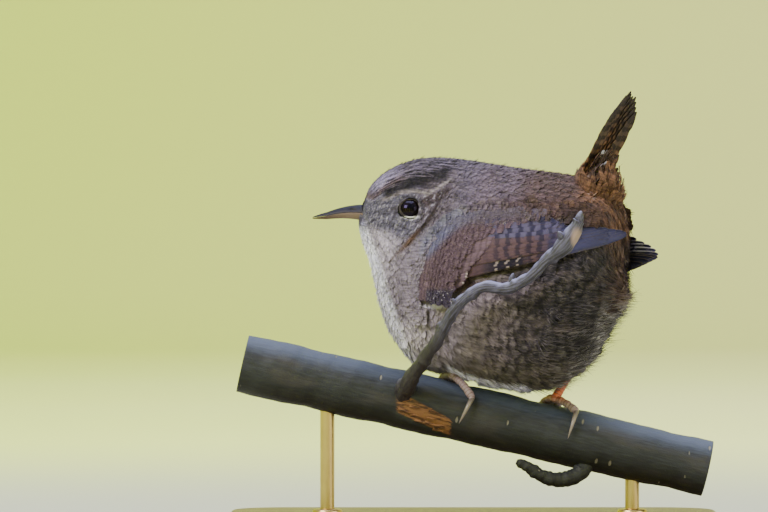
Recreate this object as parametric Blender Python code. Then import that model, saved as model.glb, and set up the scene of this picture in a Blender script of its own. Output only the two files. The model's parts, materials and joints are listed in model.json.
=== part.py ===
"""A wren perched on a cut length of branch, held over a flat base: the solids, at life size.

The bird faces -X and its tail is at +X, so its left side is at -Y. It is drawn straight first, in
millimetres: x along the bird, side to its right, z up. bend() then turns the body a little away from the
line of the head, as the bird stands. The branch, the feet and the stand are drawn where they are.
"""

import math
import random

import bmesh
import bpy
from mathutils import Vector
from mathutils.bvhtree import BVHTree

METRES = 0.001  # one millimetre
GAP = 0.3  # between solids that touch

# The turn of the bird: the body's yaw, the head's, and the x where the neck takes up the difference
BODY_YAW = math.radians(20)
HEAD_YAW = math.radians(5)
TURN_X = 6.0
NECK_BACK_X = 3.0
NECK_FRONT_X = -14.0

# The plumage outline, bill to vent: top x, z, bottom x, z, and half the width between them
FACE_POLE = (-24.8, 70.3)
VENT_POLE = (31.2, 53.2)
STATIONS = (
    (-23.6, 73.2, -24.5, 67.4, 2.7),
    (-21.6, 77.1, -24.1, 64.8, 4.9),
    (-17.4, 80.5, -23.2, 62.4, 6.9),
    (-10.8, 82.1, -22.1, 59.4, 8.5),
    (-3.4, 81.7, -21.1, 55.0, 10.4),
    (3.2, 80.6, -19.6, 49.8, 12.7),
    (9.6, 79.4, -17.0, 44.2, 15.0),
    (16.0, 78.6, -12.2, 38.6, 17.0),
    (21.6, 77.6, -4.4, 35.8, 18.0),
    (26.4, 75.9, 5.6, 33.8, 17.8),
    (30.4, 72.8, 14.8, 33.8, 16.2),
    (32.4, 67.4, 22.9, 37.0, 13.2),
    (31.8, 60.6, 27.4, 44.8, 7.8),
)
BELLY_SHIFT = 0.12  # how far the widest line lies below the middle, as a share of the half height

# Where the thin cuts part head, neck and torso, as places along STATIONS
HEAD_CUT = 5.8
NECK_CUT = 7.0

# Eyes and lids
EYE_X = -12.7
EYE_Z = 71.2
EYE_RADIUS = 2.7
EYE_DEPTH = 1.9  # of the eye's middle under the plumage
LID_RADIUS = 2.35
LID_THICKNESS = 0.42
LID_SIDES = 16

# The bill: a root sunk in the face, and a fine tip
BILL_ROOT_X = -21.0
BILL_TIP_X = -34.2
BILL_HALF_WIDTH = 1.75
BILL_MOUTH_Z = 70.0
CULMEN_HEIGHT = 1.9
GONYS_DEPTH = 1.7
BILL_DROOP = 0.75
NOSTRIL_X = -25.6

# The folded wing lies on the flank as a sheet, so its feathers are placed by x and z
WING_TIP_SIDE = 8.6
VANE_THICKNESS = 0.5
# Each tier: how many feathers, root and tip of its lowest feather, root and tip of its highest,
# how far its middle tips reach past that line, width, and height over the flank, lowest and highest
WING_TIERS = {
    "primaries": (8, (-7.5, 54.6), (31.0, 63.2), (-6.5, 57.6), (29.0, 67.2), 4.6, 3.6, 1.0, 1.6),
    "secondaries": (6, (-6.3, 58.2), (26.4, 65.0), (-0.5, 63.4), (25.6, 67.4), 0.6, 4.0, 1.7, 2.3),
    "tertials": (3, (2.0, 65.2), (25.2, 67.2), (4.6, 67.6), (20.4, 68.9), 0.6, 4.2, 2.4, 2.8),
    "primary_coverts": (4, (-9.4, 54.2), (3.4, 55.4), (-8.6, 56.6), (4.6, 58.0), 0.4, 2.4, 1.7, 2.0),
    "greater_coverts": (6, (-7.4, 57.0), (5.4, 59.2), (1.4, 66.8), (11.4, 68.6), 0.9, 3.5, 2.1, 2.9),
    "median_coverts": (5, (-9.6, 57.6), (-1.0, 58.0), (-4.0, 66.0), (4.4, 68.0), 0.8, 3.8, 2.6, 3.2),
    "alula": (3, (-10.6, 53.6), (0.2, 51.6), (-10.2, 55.6), (0.6, 53.8), 0.4, 2.0, 2.2, 2.7),
}
SHOULDER = ((-10.4, 55.0), (-5.0, 65.2), 5.0, 2.0)  # ends of the bend of the wing, width, and height
RIGHT_WING_DROOP = math.radians(4)

# The cocked tail: pairs of tail feathers either side of the middle, from the top pair to the outer pair
TAIL_ROOT = (19.0, 66.9)
TAIL_TIP = (32.3, 95.2)
TAIL_PAIRS = 6
TAIL_HALF_SPREAD = 4.1
TAIL_ROOT_HALF = 1.6
TAIL_STEP = 0.16  # each pair lies this far behind the one before it
TAIL_SHORTER = 3.6  # how much shorter the outer pair is
TAIL_VANE_WIDTH = 4.2
TAIL_ROOF = 0.015  # how fast the tail falls away to its sides
TAIL_BOW = 0.85  # how far its middle lies before the line from root to tip
TAIL_TWIST = (math.radians(12), 9.0)  # its near side is turned to the front, in full this far up
TAIL_CORE = (4.0, 4.2, 7.0, 8.5, 2.6)  # the fleshy root: its half sizes, how far up it lies, and how far back
# Coverts of the tail: feathers in a tier, how far up the tail they reach, half spread, width, and height
# over the tail's face, which is behind it where negative
TAIL_COVERTS = (
    (3, 16.4, 2.4, 3.6, 0.2),
    (4, 13.0, 3.0, 4.0, 0.4),
    (5, 19.4, 3.4, 3.6, -2.0),
    (5, 16.2, 4.2, 4.0, -3.8),
    (5, 13.0, 4.8, 4.4, -6.0),
)

# The branch: straight, sloping down towards +X
BRANCH_RADIUS = 6.0
BRANCH_HALF_LENGTH = 50.0
BRANCH_Z = 27.6
BRANCH_SLOPE = math.radians(12.8)

# The stand
BASE_SIZE = (104.0, 66.0, 7.0)
BASE_CORNER = 12.0
BASE_BEVEL = 1.2
ROD_RADIUS = 1.5
ROD_PLACES = (-31.0, 33.0)

# The feet: x on the branch, the angle round it of the joint, and the hind toe's path
TOE_RADIUS = 0.78
TOE_LIFT = 0.25  # how far the toes' middles stand off the bark, besides their radius and the gap
LEG_RADIUS = 0.95
JOINT_RADIUS = 0.95
FOOT_ROOM = (-11.2, -1.6, 8.8)  # where the belly is clear of the left foot: from, to, and radius
# For each foot: place along the branch, angle of the joint towards -Y, hind toe's end along and angle,
# claw tip along and angle, and the leg's top
FEET = {
    "left": (-6.2, 12, (4.7, 60), (3.2, 108), (-3.4, -4.4, 41.0)),
    "right": (15.2, 4, (4.7, 38), (4.1, 91), (22.6, 1.0, 41.0)),
}
FRONT_TOES = ((-3.2, -62, -3.9, -106), (-0.8, -76, -1.2, -120), (1.7, -62, 2.1, -106))

random.seed(4)


# Meshes, from bmesh to a named object


def new_object(name, bm, material=None):
    """A named object from a bmesh, which it frees."""
    mesh = bpy.data.meshes.new(name)
    bm.normal_update()
    bm.to_mesh(mesh)
    bm.free()
    obj = bpy.data.objects.new(name, mesh)
    bpy.context.scene.collection.objects.link(obj)
    if material:
        mesh.materials.append(material)
    return obj


def baked(obj):
    """Applies the modifiers of an object."""
    graph = bpy.context.evaluated_depsgraph_get()
    mesh = bpy.data.meshes.new_from_object(obj.evaluated_get(graph))
    obj.modifiers.clear()
    obj.data = mesh
    return obj


def keep_largest(obj):
    """Drops all but the largest closed surface, so that no scrap or sealed hollow is left."""
    bm = bmesh.new()
    bm.from_mesh(obj.data)
    left = set(bm.faces)
    islands = []
    while left:
        stack = [left.pop()]
        island = []
        while stack:
            face = stack.pop()
            island.append(face)
            for edge in face.edges:
                for other in edge.link_faces:
                    if other in left:
                        left.remove(other)
                        stack.append(other)
        islands.append(island)
    islands.sort(key=lambda island: sum(face.calc_area() for face in island))
    for island in islands[:-1]:
        bmesh.ops.delete(bm, geom=island, context="FACES")
    bm.to_mesh(obj.data)
    bm.free()
    return obj


def fuse(name, pieces, material=None):
    """One closed body from overlapping closed pieces."""
    group = bpy.data.collections.new(name + "_pieces")
    for piece in pieces[1:]:
        bpy.context.scene.collection.objects.unlink(piece)
        group.objects.link(piece)
    bpy.context.scene.collection.children.link(group)
    body = pieces[0]
    body.name = name
    union = body.modifiers.new("union", "BOOLEAN")
    union.operation = "UNION"
    union.operand_type = "COLLECTION"
    union.collection = group
    baked(body)
    for piece in pieces[1:]:
        bpy.data.objects.remove(piece)
    bpy.data.collections.remove(group)
    body.data.materials.clear()
    if material:
        body.data.materials.append(material)
    return keep_largest(body)


def cut(obj, cutter):
    """Takes the cutter out of an object."""
    difference = obj.modifiers.new("cut", "BOOLEAN")
    difference.operation = "DIFFERENCE"
    difference.object = cutter
    baked(obj)
    bpy.data.objects.remove(cutter)
    return keep_largest(obj)


def tube(points, radii, sides):
    """A closed tube through points in 3-D, round, with its own radius at each point."""
    bm = bmesh.new()
    points = [Vector(p) for p in points]
    across = Vector((0, 1, 0))
    rings = []
    for i, point in enumerate(points):
        along = (points[min(i + 1, len(points) - 1)] - points[max(i - 1, 0)]).normalized()
        if abs(along.dot(across)) > 0.95:
            across = Vector((0, 0, 1))
        across = (across - along * across.dot(along)).normalized()
        third = along.cross(across)
        ring = []
        for k in range(sides):
            turn = 2 * math.pi * k / sides
            ring.append(bm.verts.new(point + radii[i] * (math.cos(turn) * across + math.sin(turn) * third)))
        rings.append(ring)
    for low, high in zip(rings, rings[1:]):
        for k in range(sides):
            n = (k + 1) % sides
            bm.faces.new((low[k], low[n], high[n], high[k]))
    for ring, middle, outward in ((rings[0], points[0], -1), (rings[-1], points[-1], 1)):
        hub = bm.verts.new(middle)
        for k in range(sides):
            n = (k + 1) % sides
            bm.faces.new((hub, ring[k], ring[n]) if outward > 0 else (hub, ring[n], ring[k]))
    return bm


def smooth_path(points, count):
    """Points evenly spaced in parameter on a smooth curve through the given ones."""
    last = len(points) - 1
    return [Vector(through(points, last * i / (count - 1))) for i in range(count)]


def through(points, s):
    """The Catmull-Rom curve through points of any dimension, at s from 0 to the last index."""
    last = len(points) - 1
    i = min(int(s), last - 1)
    t = s - i
    a, b, c, d = points[max(i - 1, 0)], points[i], points[i + 1], points[min(i + 2, last)]
    return tuple(
        0.5 * (2 * q + (r - p) * t + (2 * p - 5 * q + 4 * r - w) * t**2 + (3 * q - p - 3 * r + w) * t**3)
        for p, q, r, w in zip(a, b, c, d)
    )


def thick_sheet(top, bottom):
    """A closed sheet from two grids of points, row by row, split alike on both faces."""
    bm = bmesh.new()
    upper = [[bm.verts.new(p) for p in row] for row in top]
    lower = [[bm.verts.new(p) for p in row] for row in bottom]
    rows, columns = len(upper), len(upper[0])
    for i in range(rows - 1):
        for k in range(columns - 1):
            a, b, c, d = (i, k), (i + 1, k), (i + 1, k + 1), (i, k + 1)
            for corners in ((a, b, c), (a, c, d)):
                bm.faces.new([upper[r][n] for r, n in corners])
                bm.faces.new([lower[r][n] for r, n in reversed(corners)])
    rim = [(i, 0) for i in range(rows)] + [(rows - 1, k) for k in range(1, columns)]
    rim += [(i, columns - 1) for i in range(rows - 2, -1, -1)] + [(0, k) for k in range(columns - 2, 0, -1)]
    for (i, k), (j, n) in zip(rim, rim[1:] + rim[:1]):
        bm.faces.new((upper[i][k], lower[i][k], lower[j][n]))
        bm.faces.new((upper[i][k], lower[j][n], upper[j][n]))
    bmesh.ops.recalc_face_normals(bm, faces=bm.faces)
    return bm


# The turn from the straight bird to the bird as it stands


def turn_at(x):
    """Yaw at x, and how far the bird's middle plane lies towards +Y there."""
    body, head = math.tan(BODY_YAW), math.tan(HEAD_YAW)
    reach = NECK_BACK_X - NECK_FRONT_X
    t = (NECK_BACK_X - x) / reach
    blend = min(max(t, 0.0), 1.0)
    share = blend * blend * (3 - 2 * blend)
    area = blend**3 - blend**4 / 2 + max(t - 1, 0.0)
    return math.atan(body + (head - body) * share), -body * (x - TURN_X) - (body - head) * reach * area


def bend(point):
    """The place of a point of the straight bird, as it stands."""
    yaw, middle = turn_at(point[0])
    return Vector((point[0] + point[1] * math.sin(yaw), middle + point[1] * math.cos(yaw), point[2]))


def bend_all(bm):
    for vert in bm.verts:
        vert.co = bend(vert.co)
    return bm


def bend_object(obj):
    """Turns a closed object of the straight bird as the bird stands."""
    bm = bmesh.new()
    bm.from_mesh(obj.data)
    bend_all(bm)
    bmesh.ops.recalc_face_normals(bm, faces=bm.faces)
    bm.to_mesh(obj.data)
    bm.free()


# The body: one plumage surface, parted by thin cuts


def body_profile():
    """The stations with both poles, and a mirrored one past each pole, so that the ends are round."""
    face = (*FACE_POLE, *FACE_POLE, 0.0)
    vent = (*VENT_POLE, *VENT_POLE, 0.0)
    swap = [(s[2], s[3], s[0], s[1], -s[4]) for s in (STATIONS[0], STATIONS[-1])]
    return [swap[0], face, *STATIONS, vent, swap[1]]


def body_point(s, angle, grow=0.0):
    """A point on the plumage: s counts stations from the face, angle runs from the top round the right."""
    top_x, top_z, low_x, low_z, half_width = through(body_profile(), s + 1)
    middle = Vector(((top_x + low_x) / 2, 0, (top_z + low_z) / 2))
    up = Vector(((top_x - low_x) / 2, 0, (top_z - low_z) / 2))
    height = math.cos(angle)
    height -= BELLY_SHIFT * (1 - height * height)
    if up.length > 1e-6:
        up *= (up.length + grow) / up.length
    side = (max(half_width, 0.0) + grow) * math.sin(angle)
    return middle + up * height + Vector((0, side, 0))


def body_bmesh(rings, segments, grow=0.0):
    """The whole plumage surface from face to vent, closed."""
    bm = bmesh.new()
    last = len(STATIONS) + 1
    loops = []
    for i in range(1, rings):
        s = last * i / rings
        loops.append([bm.verts.new(body_point(s, 2 * math.pi * k / segments, grow)) for k in range(segments)])
    face = bm.verts.new(Vector((FACE_POLE[0] - grow, 0, FACE_POLE[1])))
    vent = bm.verts.new(Vector((VENT_POLE[0] + grow, 0, VENT_POLE[1])))
    for k in range(segments):
        n = (k + 1) % segments
        bm.faces.new((face, loops[0][n], loops[0][k]))
        bm.faces.new((vent, loops[-1][k], loops[-1][n]))
        for low, high in zip(loops, loops[1:]):
            bm.faces.new((low[k], low[n], high[n], high[k]))
    bmesh.ops.recalc_face_normals(bm, faces=bm.faces)
    return bm


def seam(s):
    """A point on the thin cut at station s of the turned bird, and its direction towards the tail."""
    top_x, top_z, low_x, low_z, _ = through(body_profile(), s + 1)
    middle = ((top_x + low_x) / 2, 0, (top_z + low_z) / 2)
    yaw = turn_at(middle[0])[0]
    height, lean = top_z - low_z, low_x - top_x
    along = Vector((height * math.cos(yaw), -height * math.sin(yaw), lean / math.cos(yaw)))
    return bend(middle), along.normalized()


def keep_between(bm, front=None, back=None):
    """Turns the body, and keeps what is behind the cut at station front and before the cut at back."""
    bend_all(bm)
    for s, sign in ((front, -1), (back, 1)):
        if s is None:
            continue
        point, along = seam(s)
        geometry = bm.verts[:] + bm.edges[:] + bm.faces[:]
        made = bmesh.ops.bisect_plane(
            bm,
            geom=geometry,
            plane_co=point - sign * along * GAP / 2,
            plane_no=along * sign,
            clear_outer=True,
        )
        edges = [g for g in made["geom_cut"] if isinstance(g, bmesh.types.BMEdge)]
        bmesh.ops.holes_fill(bm, edges=edges)
    bmesh.ops.triangulate(bm, faces=bm.faces)
    return bm


def flank_finder():
    """A function that gives the plumage's half width at x and z of the straight bird, or None."""
    tree = BVHTree.FromBMesh(body_bmesh(60, 48))

    def half_width(x, z):
        hit = tree.ray_cast(Vector((x, 60, z)), Vector((0, -1, 0)))
        return hit[0].y if hit[0] else None

    return half_width


# The head


def make_head(materials, half_width):
    """The head with its lids and the sockets of eyes and bill, and the eyes."""
    head = new_object("head", keep_between(body_bmesh(48, 26), back=HEAD_CUT))
    surface = half_width(EYE_X, EYE_Z)
    rings, sockets = [], []
    for name, side in (("left", -1), ("right", 1)):
        front = half_width(EYE_X - 1, EYE_Z) - half_width(EYE_X + 1, EYE_Z)
        tilt = half_width(EYE_X, EYE_Z + 1) - half_width(EYE_X, EYE_Z - 1)
        outward = Vector((-front / 2, side, -tilt / 2)).normalized()
        middle = Vector((EYE_X, side * surface, EYE_Z)) - outward * EYE_DEPTH
        across = outward.cross(Vector((0, 0, 1))).normalized()
        upward = across.cross(outward)
        ring = []
        for k in range(LID_SIDES):
            turn = 2 * math.pi * k / LID_SIDES
            ring.append(
                middle + outward * (EYE_DEPTH + 0.05)
                + LID_RADIUS * (1.08 * math.cos(turn) * across + 0.96 * math.sin(turn) * upward)
            )
        rings.append(new_object("lid", bend_all(ring_tube(ring, LID_THICKNESS, 5))))
        sockets.append(eyeball("socket", middle, EYE_RADIUS + GAP))
        eyeball("eye_" + name, middle, EYE_RADIUS, materials["eye"])
    head = fuse("head", [head, *rings], materials["plumage"])
    for socket in sockets:
        cut(head, socket)
    cut(head, new_object("bill_socket", bend_all(bill_bmesh(True, GAP))))
    cut(head, new_object("bill_socket", bend_all(bill_bmesh(False, GAP))))


def eyeball(name, middle, radius, material=None):
    ball = bmesh.new()
    bmesh.ops.create_uvsphere(ball, u_segments=16, v_segments=8, radius=radius)
    bmesh.ops.translate(ball, verts=ball.verts, vec=bend(middle))
    return new_object(name, ball, material)


def ring_tube(points, radius, sides):
    """A closed ring of round section through points that come back to the first."""
    bm = bmesh.new()
    count = len(points)
    middle = sum(points, Vector()) / count
    loops = []
    for i, point in enumerate(points):
        along = (points[(i + 1) % count] - points[i - 1]).normalized()
        out = (point - middle).normalized()
        third = along.cross(out)
        loop = []
        for k in range(sides):
            turn = 2 * math.pi * k / sides
            loop.append(bm.verts.new(point + radius * (math.cos(turn) * out + math.sin(turn) * third)))
        loops.append(loop)
    for i in range(count):
        low, high = loops[i], loops[(i + 1) % count]
        for k in range(sides):
            n = (k + 1) % sides
            bm.faces.new((low[k], low[n], high[n], high[k]))
    bmesh.ops.recalc_face_normals(bm, faces=bm.faces)
    return bm


def bill_bmesh(upper, grow=0.0):
    """One half of the bill, flat along the line of the mouth, its root sunk in the face."""
    section = ((0.0, 1.0), (0.45, 0.8), (0.85, 0.42), (1.0, 0.0))
    lengths = (0.0, 0.12, 0.24, 0.38, 0.52, 0.66, 0.8, 0.91, 1.0)
    bm = bmesh.new()
    loops = []
    for t in lengths:
        x = BILL_ROOT_X + (BILL_TIP_X - BILL_ROOT_X) * t
        x += grow if t == 0.0 else -grow * (t == 1.0)
        taper = (1 - t) ** 0.85
        mouth = BILL_MOUTH_Z + 0.4 * math.sin(math.pi * min(t * 1.3, 1.0)) - BILL_DROOP * t**3
        height = CULMEN_HEIGHT * (1 - t) ** 0.75 + 0.12 if upper else -(GONYS_DEPTH * (1 - t) ** 0.8 + 0.12)
        away = GAP / 2 if upper else -GAP / 2
        half = BILL_HALF_WIDTH * taper + 0.14 + grow
        sign = 1 if upper else -1
        edge = mouth + away - sign * grow
        rise = height + 2 * sign * grow
        profile = [(half * w, edge + rise * h) for w, h in section]
        profile += [(-half * w, edge + rise * h) for w, h in reversed(section[1:])]
        loops.append([bm.verts.new(Vector((x, y, z))) for y, z in profile])
    for low, high in zip(loops, loops[1:]):
        for k in range(len(low)):
            n = (k + 1) % len(low)
            bm.faces.new((low[k], low[n], high[n], high[k]))
    bm.faces.new(loops[0])
    bm.faces.new(loops[-1])
    bmesh.ops.recalc_face_normals(bm, faces=bm.faces)
    bmesh.ops.triangulate(bm, faces=bm.faces)
    return bm


def make_bill(materials):
    """The upper half with its nostrils, and the lower half, with the line of the mouth between."""
    upper = new_object("bill_upper", bend_all(bill_bmesh(True)), materials["bill"])
    new_object("bill_lower", bend_all(bill_bmesh(False)), materials["bill"])
    for side in (-1, 1):
        slit = bmesh.new()
        bmesh.ops.create_uvsphere(slit, u_segments=10, v_segments=6, radius=1.0)
        bmesh.ops.scale(slit, verts=slit.verts, vec=(0.75, 0.32, 0.2))
        place = Vector((NOSTRIL_X, side * 0.98, BILL_MOUTH_Z + 1.0))
        bmesh.ops.translate(slit, verts=slit.verts, vec=bend(place))
        cut(upper, new_object("nostril", slit))


# Feathers with vanes: the wings and the tail

# Rows of a feather from root to tip: how far along, and the share of its width
FLIGHT_ROWS = ((0.0, 0.4), (0.2, 0.75), (0.4, 0.95), (0.6, 1.0), (0.8, 0.9), (0.94, 0.55), (1.0, 0.14))
SHORT_ROWS = ((0.0, 0.5), (0.38, 0.92), (0.72, 1.0), (0.92, 0.7), (1.0, 0.25))


def vane(place, root, tip, width, lift, lift_tip, rows):
    """A feather on a sheet: place(u, v, height) gives its points, and root and tip are in u and v."""
    root, tip = Vector((*root, 0)), Vector((*tip, 0))
    along = tip - root
    across = Vector((-along.y, along.x, 0)).normalized() * width / 2
    top, bottom = [], []
    for t, share in rows:
        middle = root + along * t
        height = lift + (lift_tip - lift) * t
        half = VANE_THICKNESS / 2 * (1 - 0.5 * t**4)
        edges = (middle - across * share, middle + across * share)
        top.append([place(p.x, p.y, height + half) for p in edges])
        bottom.append([place(p.x, p.y, height - half) for p in edges])
    return thick_sheet(top, bottom)


def between(a, b, t):
    return tuple(p + (q - p) * t for p, q in zip(a, b))


def wing_sheet(half_width, side):
    """The sheet that the folded wing lies on: the flank, and past it a line that runs to the wing's tip."""

    def place(x, z, height):
        near = half_width(x, z) or 0.0
        free = WING_TIP_SIDE + 0.16 * max(34.0 - x, 0.0) - 0.004 * max(20.0 - x, 0.0) ** 2
        softness = 3.0
        over = math.log(math.exp(near / softness) + math.exp(free / softness)) * softness
        level = max(near, over - 0.35 * softness)
        return Vector((x, side * (level + height), z))

    return place


def droop(point, angle):
    """Turns a point of the right wing down about its wrist."""
    x, z = point[0] + 8.0, point[1] - 58.0
    return (x * math.cos(angle) + z * math.sin(angle) - 8.0, z * math.cos(angle) - x * math.sin(angle) + 58.0)


def make_wing(name, side, materials, half_width):
    """A folded wing: tiers of vanes rooted in the bend of the wing, cut clear of the flank."""
    place = wing_sheet(half_width, side)
    angle = RIGHT_WING_DROOP if side > 0 else 0.0
    vanes = [shoulder(place)]
    for tier, (count, root_a, tip_a, root_b, tip_b, reach, width, low, high) in WING_TIERS.items():
        for i in range(count):
            t = i / (count - 1)
            root = between(root_a, root_b, t)
            tip = between(tip_a, tip_b, t)
            tip = (tip[0] + reach * math.sin(math.pi * t), tip[1] + random.uniform(-0.12, 0.12))
            lift = low + (high - low) * t + random.uniform(-0.03, 0.03)
            if tier in ("primaries", "secondaries", "tertials"):
                root, tip = droop(root, angle), droop(tip, angle)
                vanes.append(new_object(tier, vane(place, root, tip, width, lift, lift - 0.1, FLIGHT_ROWS)))
            else:
                vanes.append(new_object(tier, vane(place, root, tip, width, lift, lift, SHORT_ROWS)))
    for piece in vanes:
        bend_object(piece)
    wing = fuse(name, vanes, materials["wing"])
    return cut(wing, new_object("flank", bend_all(body_bmesh(46, 32, GAP))))


def shoulder(place):
    """The bend of the wing, a smooth pad that the coverts and the flight feathers root in."""
    low, high, width, height = SHOULDER
    low, high = Vector((*low, 0)), Vector((*high, 0))
    along = high - low
    across = Vector((along.y, -along.x, 0)).normalized() * width
    top, bottom = [], []
    for i in range(9):
        t = i / 8
        bulge = math.sin(math.pi * min(max(t, 0.04), 0.96)) ** 0.6
        upper, under = [], []
        for c in (-1, -0.6, 0, 0.6, 1):
            p = low + along * t + across * (0.35 + c * bulge)
            crown = height * bulge * (1 - 0.75 * c * c)
            upper.append(place(p.x, p.y, 0.6 + crown))
            under.append(place(p.x, p.y, -0.8))
        top.append(upper)
        bottom.append(under)
    return new_object("shoulder", thick_sheet(top, bottom))


def tail_place(across, up, height):
    """A point of the tail: across it, up along it from its root, and out of its upper (front) face."""
    root, tip = Vector((TAIL_ROOT[0], 0, TAIL_ROOT[1])), Vector((TAIL_TIP[0], 0, TAIL_TIP[1]))
    along = (tip - root).normalized()
    front = Vector((-along.z, 0, along.x))
    share = up / (tip - root).length
    bow = 4 * TAIL_BOW * share * (1 - share)
    twist = TAIL_TWIST[0] * min(max(up / TAIL_TWIST[1], 0.0), 1.0)
    height -= TAIL_ROOF * across * across
    ahead = height * math.cos(twist) - across * math.sin(twist)
    beside = across * math.cos(twist) + height * math.sin(twist)
    return root + along * up + front * (ahead + bow) + Vector((0, beside, 0))


def make_tail(materials):
    """The tail feathers, from the outer pair under to the top pair over, and the coverts over their roots."""
    length = (Vector(TAIL_TIP) - Vector(TAIL_ROOT)).length
    vanes = []
    for pair in range(TAIL_PAIRS):
        t = (pair + 0.35) / (TAIL_PAIRS - 0.65)
        for side in (-1, 1):
            reach = length - TAIL_SHORTER * (pair / (TAIL_PAIRS - 1)) ** 1.6 + random.uniform(-0.3, 0.3)
            root = (side * TAIL_ROOT_HALF * t, 4.0)
            tip = (side * TAIL_HALF_SPREAD * t, reach)
            lift = -TAIL_STEP * (pair + 0.5 * (side > 0))
            feather = vane(tail_place, root, tip, TAIL_VANE_WIDTH, lift, lift, SHORT_ROWS)
            vanes.append(new_object("feather", feather))
    for count, reach, spread, width, lift in TAIL_COVERTS:
        for i in range(count):
            share = 2 * i / (count - 1) - 1
            root = (share * spread * 0.6, 3.0)
            tip = (share * spread, reach - 1.4 * abs(share) + random.uniform(-0.3, 0.3))
            height = lift + 0.14 * i * (1 if lift > 0 else -1)
            covert = vane(tail_place, root, tip, width, height * 0.4, height, SHORT_ROWS)
            vanes.append(new_object("covert", covert))
    core = bmesh.new()
    bmesh.ops.create_uvsphere(core, u_segments=14, v_segments=10, radius=1.0)
    bmesh.ops.scale(core, verts=core.verts, vec=TAIL_CORE[:3])
    for vert in core.verts:
        vert.co = tail_place(vert.co.y, vert.co.z + TAIL_CORE[3], -vert.co.x - TAIL_CORE[4])
    vanes.append(new_object("core", core))
    for piece in vanes:
        bend_object(piece)
    tail = fuse("tail", vanes, materials["wing"])
    return cut(tail, new_object("rump", bend_all(body_bmesh(46, 32, GAP))))


# The branch with its twig and spur


def branch_axis(x):
    """The branch's middle at x."""
    return Vector((x, 0, BRANCH_Z - math.tan(BRANCH_SLOPE) * x))


def round_branch(along_x, angle, distance):
    """A point near the branch: x of its place, angle from its top towards -Y in degrees, and distance."""
    up = Vector((math.sin(BRANCH_SLOPE), 0, math.cos(BRANCH_SLOPE)))
    turn = math.radians(angle)
    return branch_axis(along_x) + distance * (math.cos(turn) * up - math.sin(turn) * Vector((0, 1, 0)))


def branch_radius(x):
    """The branch is a little thicker where the twig and the spur leave it."""
    swell = 0.08 * math.exp(-(((x + 15.0) / 3.2) ** 2)) + 0.3 * math.exp(-(((x - 25.0) / 4.0) ** 2))
    return BRANCH_RADIUS + swell + 0.12 * math.sin(x * 0.42) - 0.004 * x


def branch_bmesh(grow=0.0):
    steps = 20
    half = BRANCH_HALF_LENGTH * math.cos(BRANCH_SLOPE)
    xs = [-half - grow + 2 * (half + grow) * i / steps for i in range(steps + 1)]
    return tube([branch_axis(x) for x in xs], [branch_radius(x) + grow for x in xs], 20)


TWIG_PATH = (
    (-15.4, -2.6, 31.4), (-14.2, -7.4, 34.4), (-11.4, -12.2, 38.8), (-7.8, -17.4, 44.2), (-4.6, -20.6, 49.2),
    (0.4, -23.0, 53.0), (6.4, -24.2, 54.6), (10.4, -25.2, 56.6), (14.4, -26.4, 60.4), (18.4, -27.4, 64.0),
    (20.8, -28.0, 68.4),
)
TWIG_RADII = (2.5, 2.1, 1.6, 1.4, 1.35, 1.3, 1.45, 1.3, 1.3, 1.9, 1.1)
SPUR_PATH = (
    (25.0, -1.0, 20.0), (21.6, -3.2, 15.6), (17.6, -4.6, 14.4), (14.0, -5.2, 15.2), (10.8, -5.6, 17.2),
    (8.6, -5.8, 18.2),
)
SPUR_RADII = (1.9, 1.7, 1.55, 1.35, 1.15, 0.6)


def knobby(path, radii, count, sides, wobble):
    """A twig with the small swellings of its buds and old leaf scars."""
    line = smooth_path(path, count)
    steps = [(len(radii) - 1) * i / (count - 1) for i in range(count)]
    sizes = [through([(r,) for r in radii], s)[0] for s in steps]
    sizes = [r * (1 + wobble * math.sin(i * 1.9) * math.sin(i * 0.7)) for i, r in enumerate(sizes)]
    return tube(line, sizes, sides)


def make_perch(materials):
    new_object("perch_branch", branch_bmesh(), materials["bark"])
    for name, path, radii in (("perch_twig", TWIG_PATH, TWIG_RADII), ("perch_spur", SPUR_PATH, SPUR_RADII)):
        twig = new_object(name, knobby(path, radii, 21, 8, 0.12), materials["bark"])
        cut(twig, new_object("grown_branch", branch_bmesh(GAP)))


# Legs and feet


def make_foot(name, materials, torso):
    """A leg let into the torso, with three toes over the branch's far side and the hind toe over this one."""
    joint_x, joint_angle, hind_end, hind_claw, leg_top = FEET[name]
    reach = BRANCH_RADIUS + GAP + TOE_RADIUS + TOE_LIFT
    joint = round_branch(joint_x, joint_angle, reach + 0.1)
    toes = [toe(joint_x, joint_angle, *hind_end, *hind_claw, reach)]
    for path in FRONT_TOES:
        toes.append(toe(joint_x, joint_angle, *path, reach))
    ball = bmesh.new()
    bmesh.ops.create_icosphere(ball, subdivisions=2, radius=JOINT_RADIUS)
    bmesh.ops.translate(ball, verts=ball.verts, vec=joint)
    toes.append(new_object("joint", ball))
    fuse("foot_" + name, toes, materials["foot"])
    top = Vector(leg_top)
    towards = (top - joint).normalized()
    start = joint + towards * (JOINT_RADIUS + GAP)
    for grow in (0.0, GAP):
        points = [start.lerp(top + towards * grow, t / 6) for t in range(7)]
        radii = [LEG_RADIUS * share + grow for share in (1.06, 0.94, 0.9, 0.92, 0.98, 1.05, 1.1)]
        leg = new_object("leg_" + name, tube(points, radii, 10), materials["foot"])
        if grow:
            cut(torso, leg)


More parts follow.
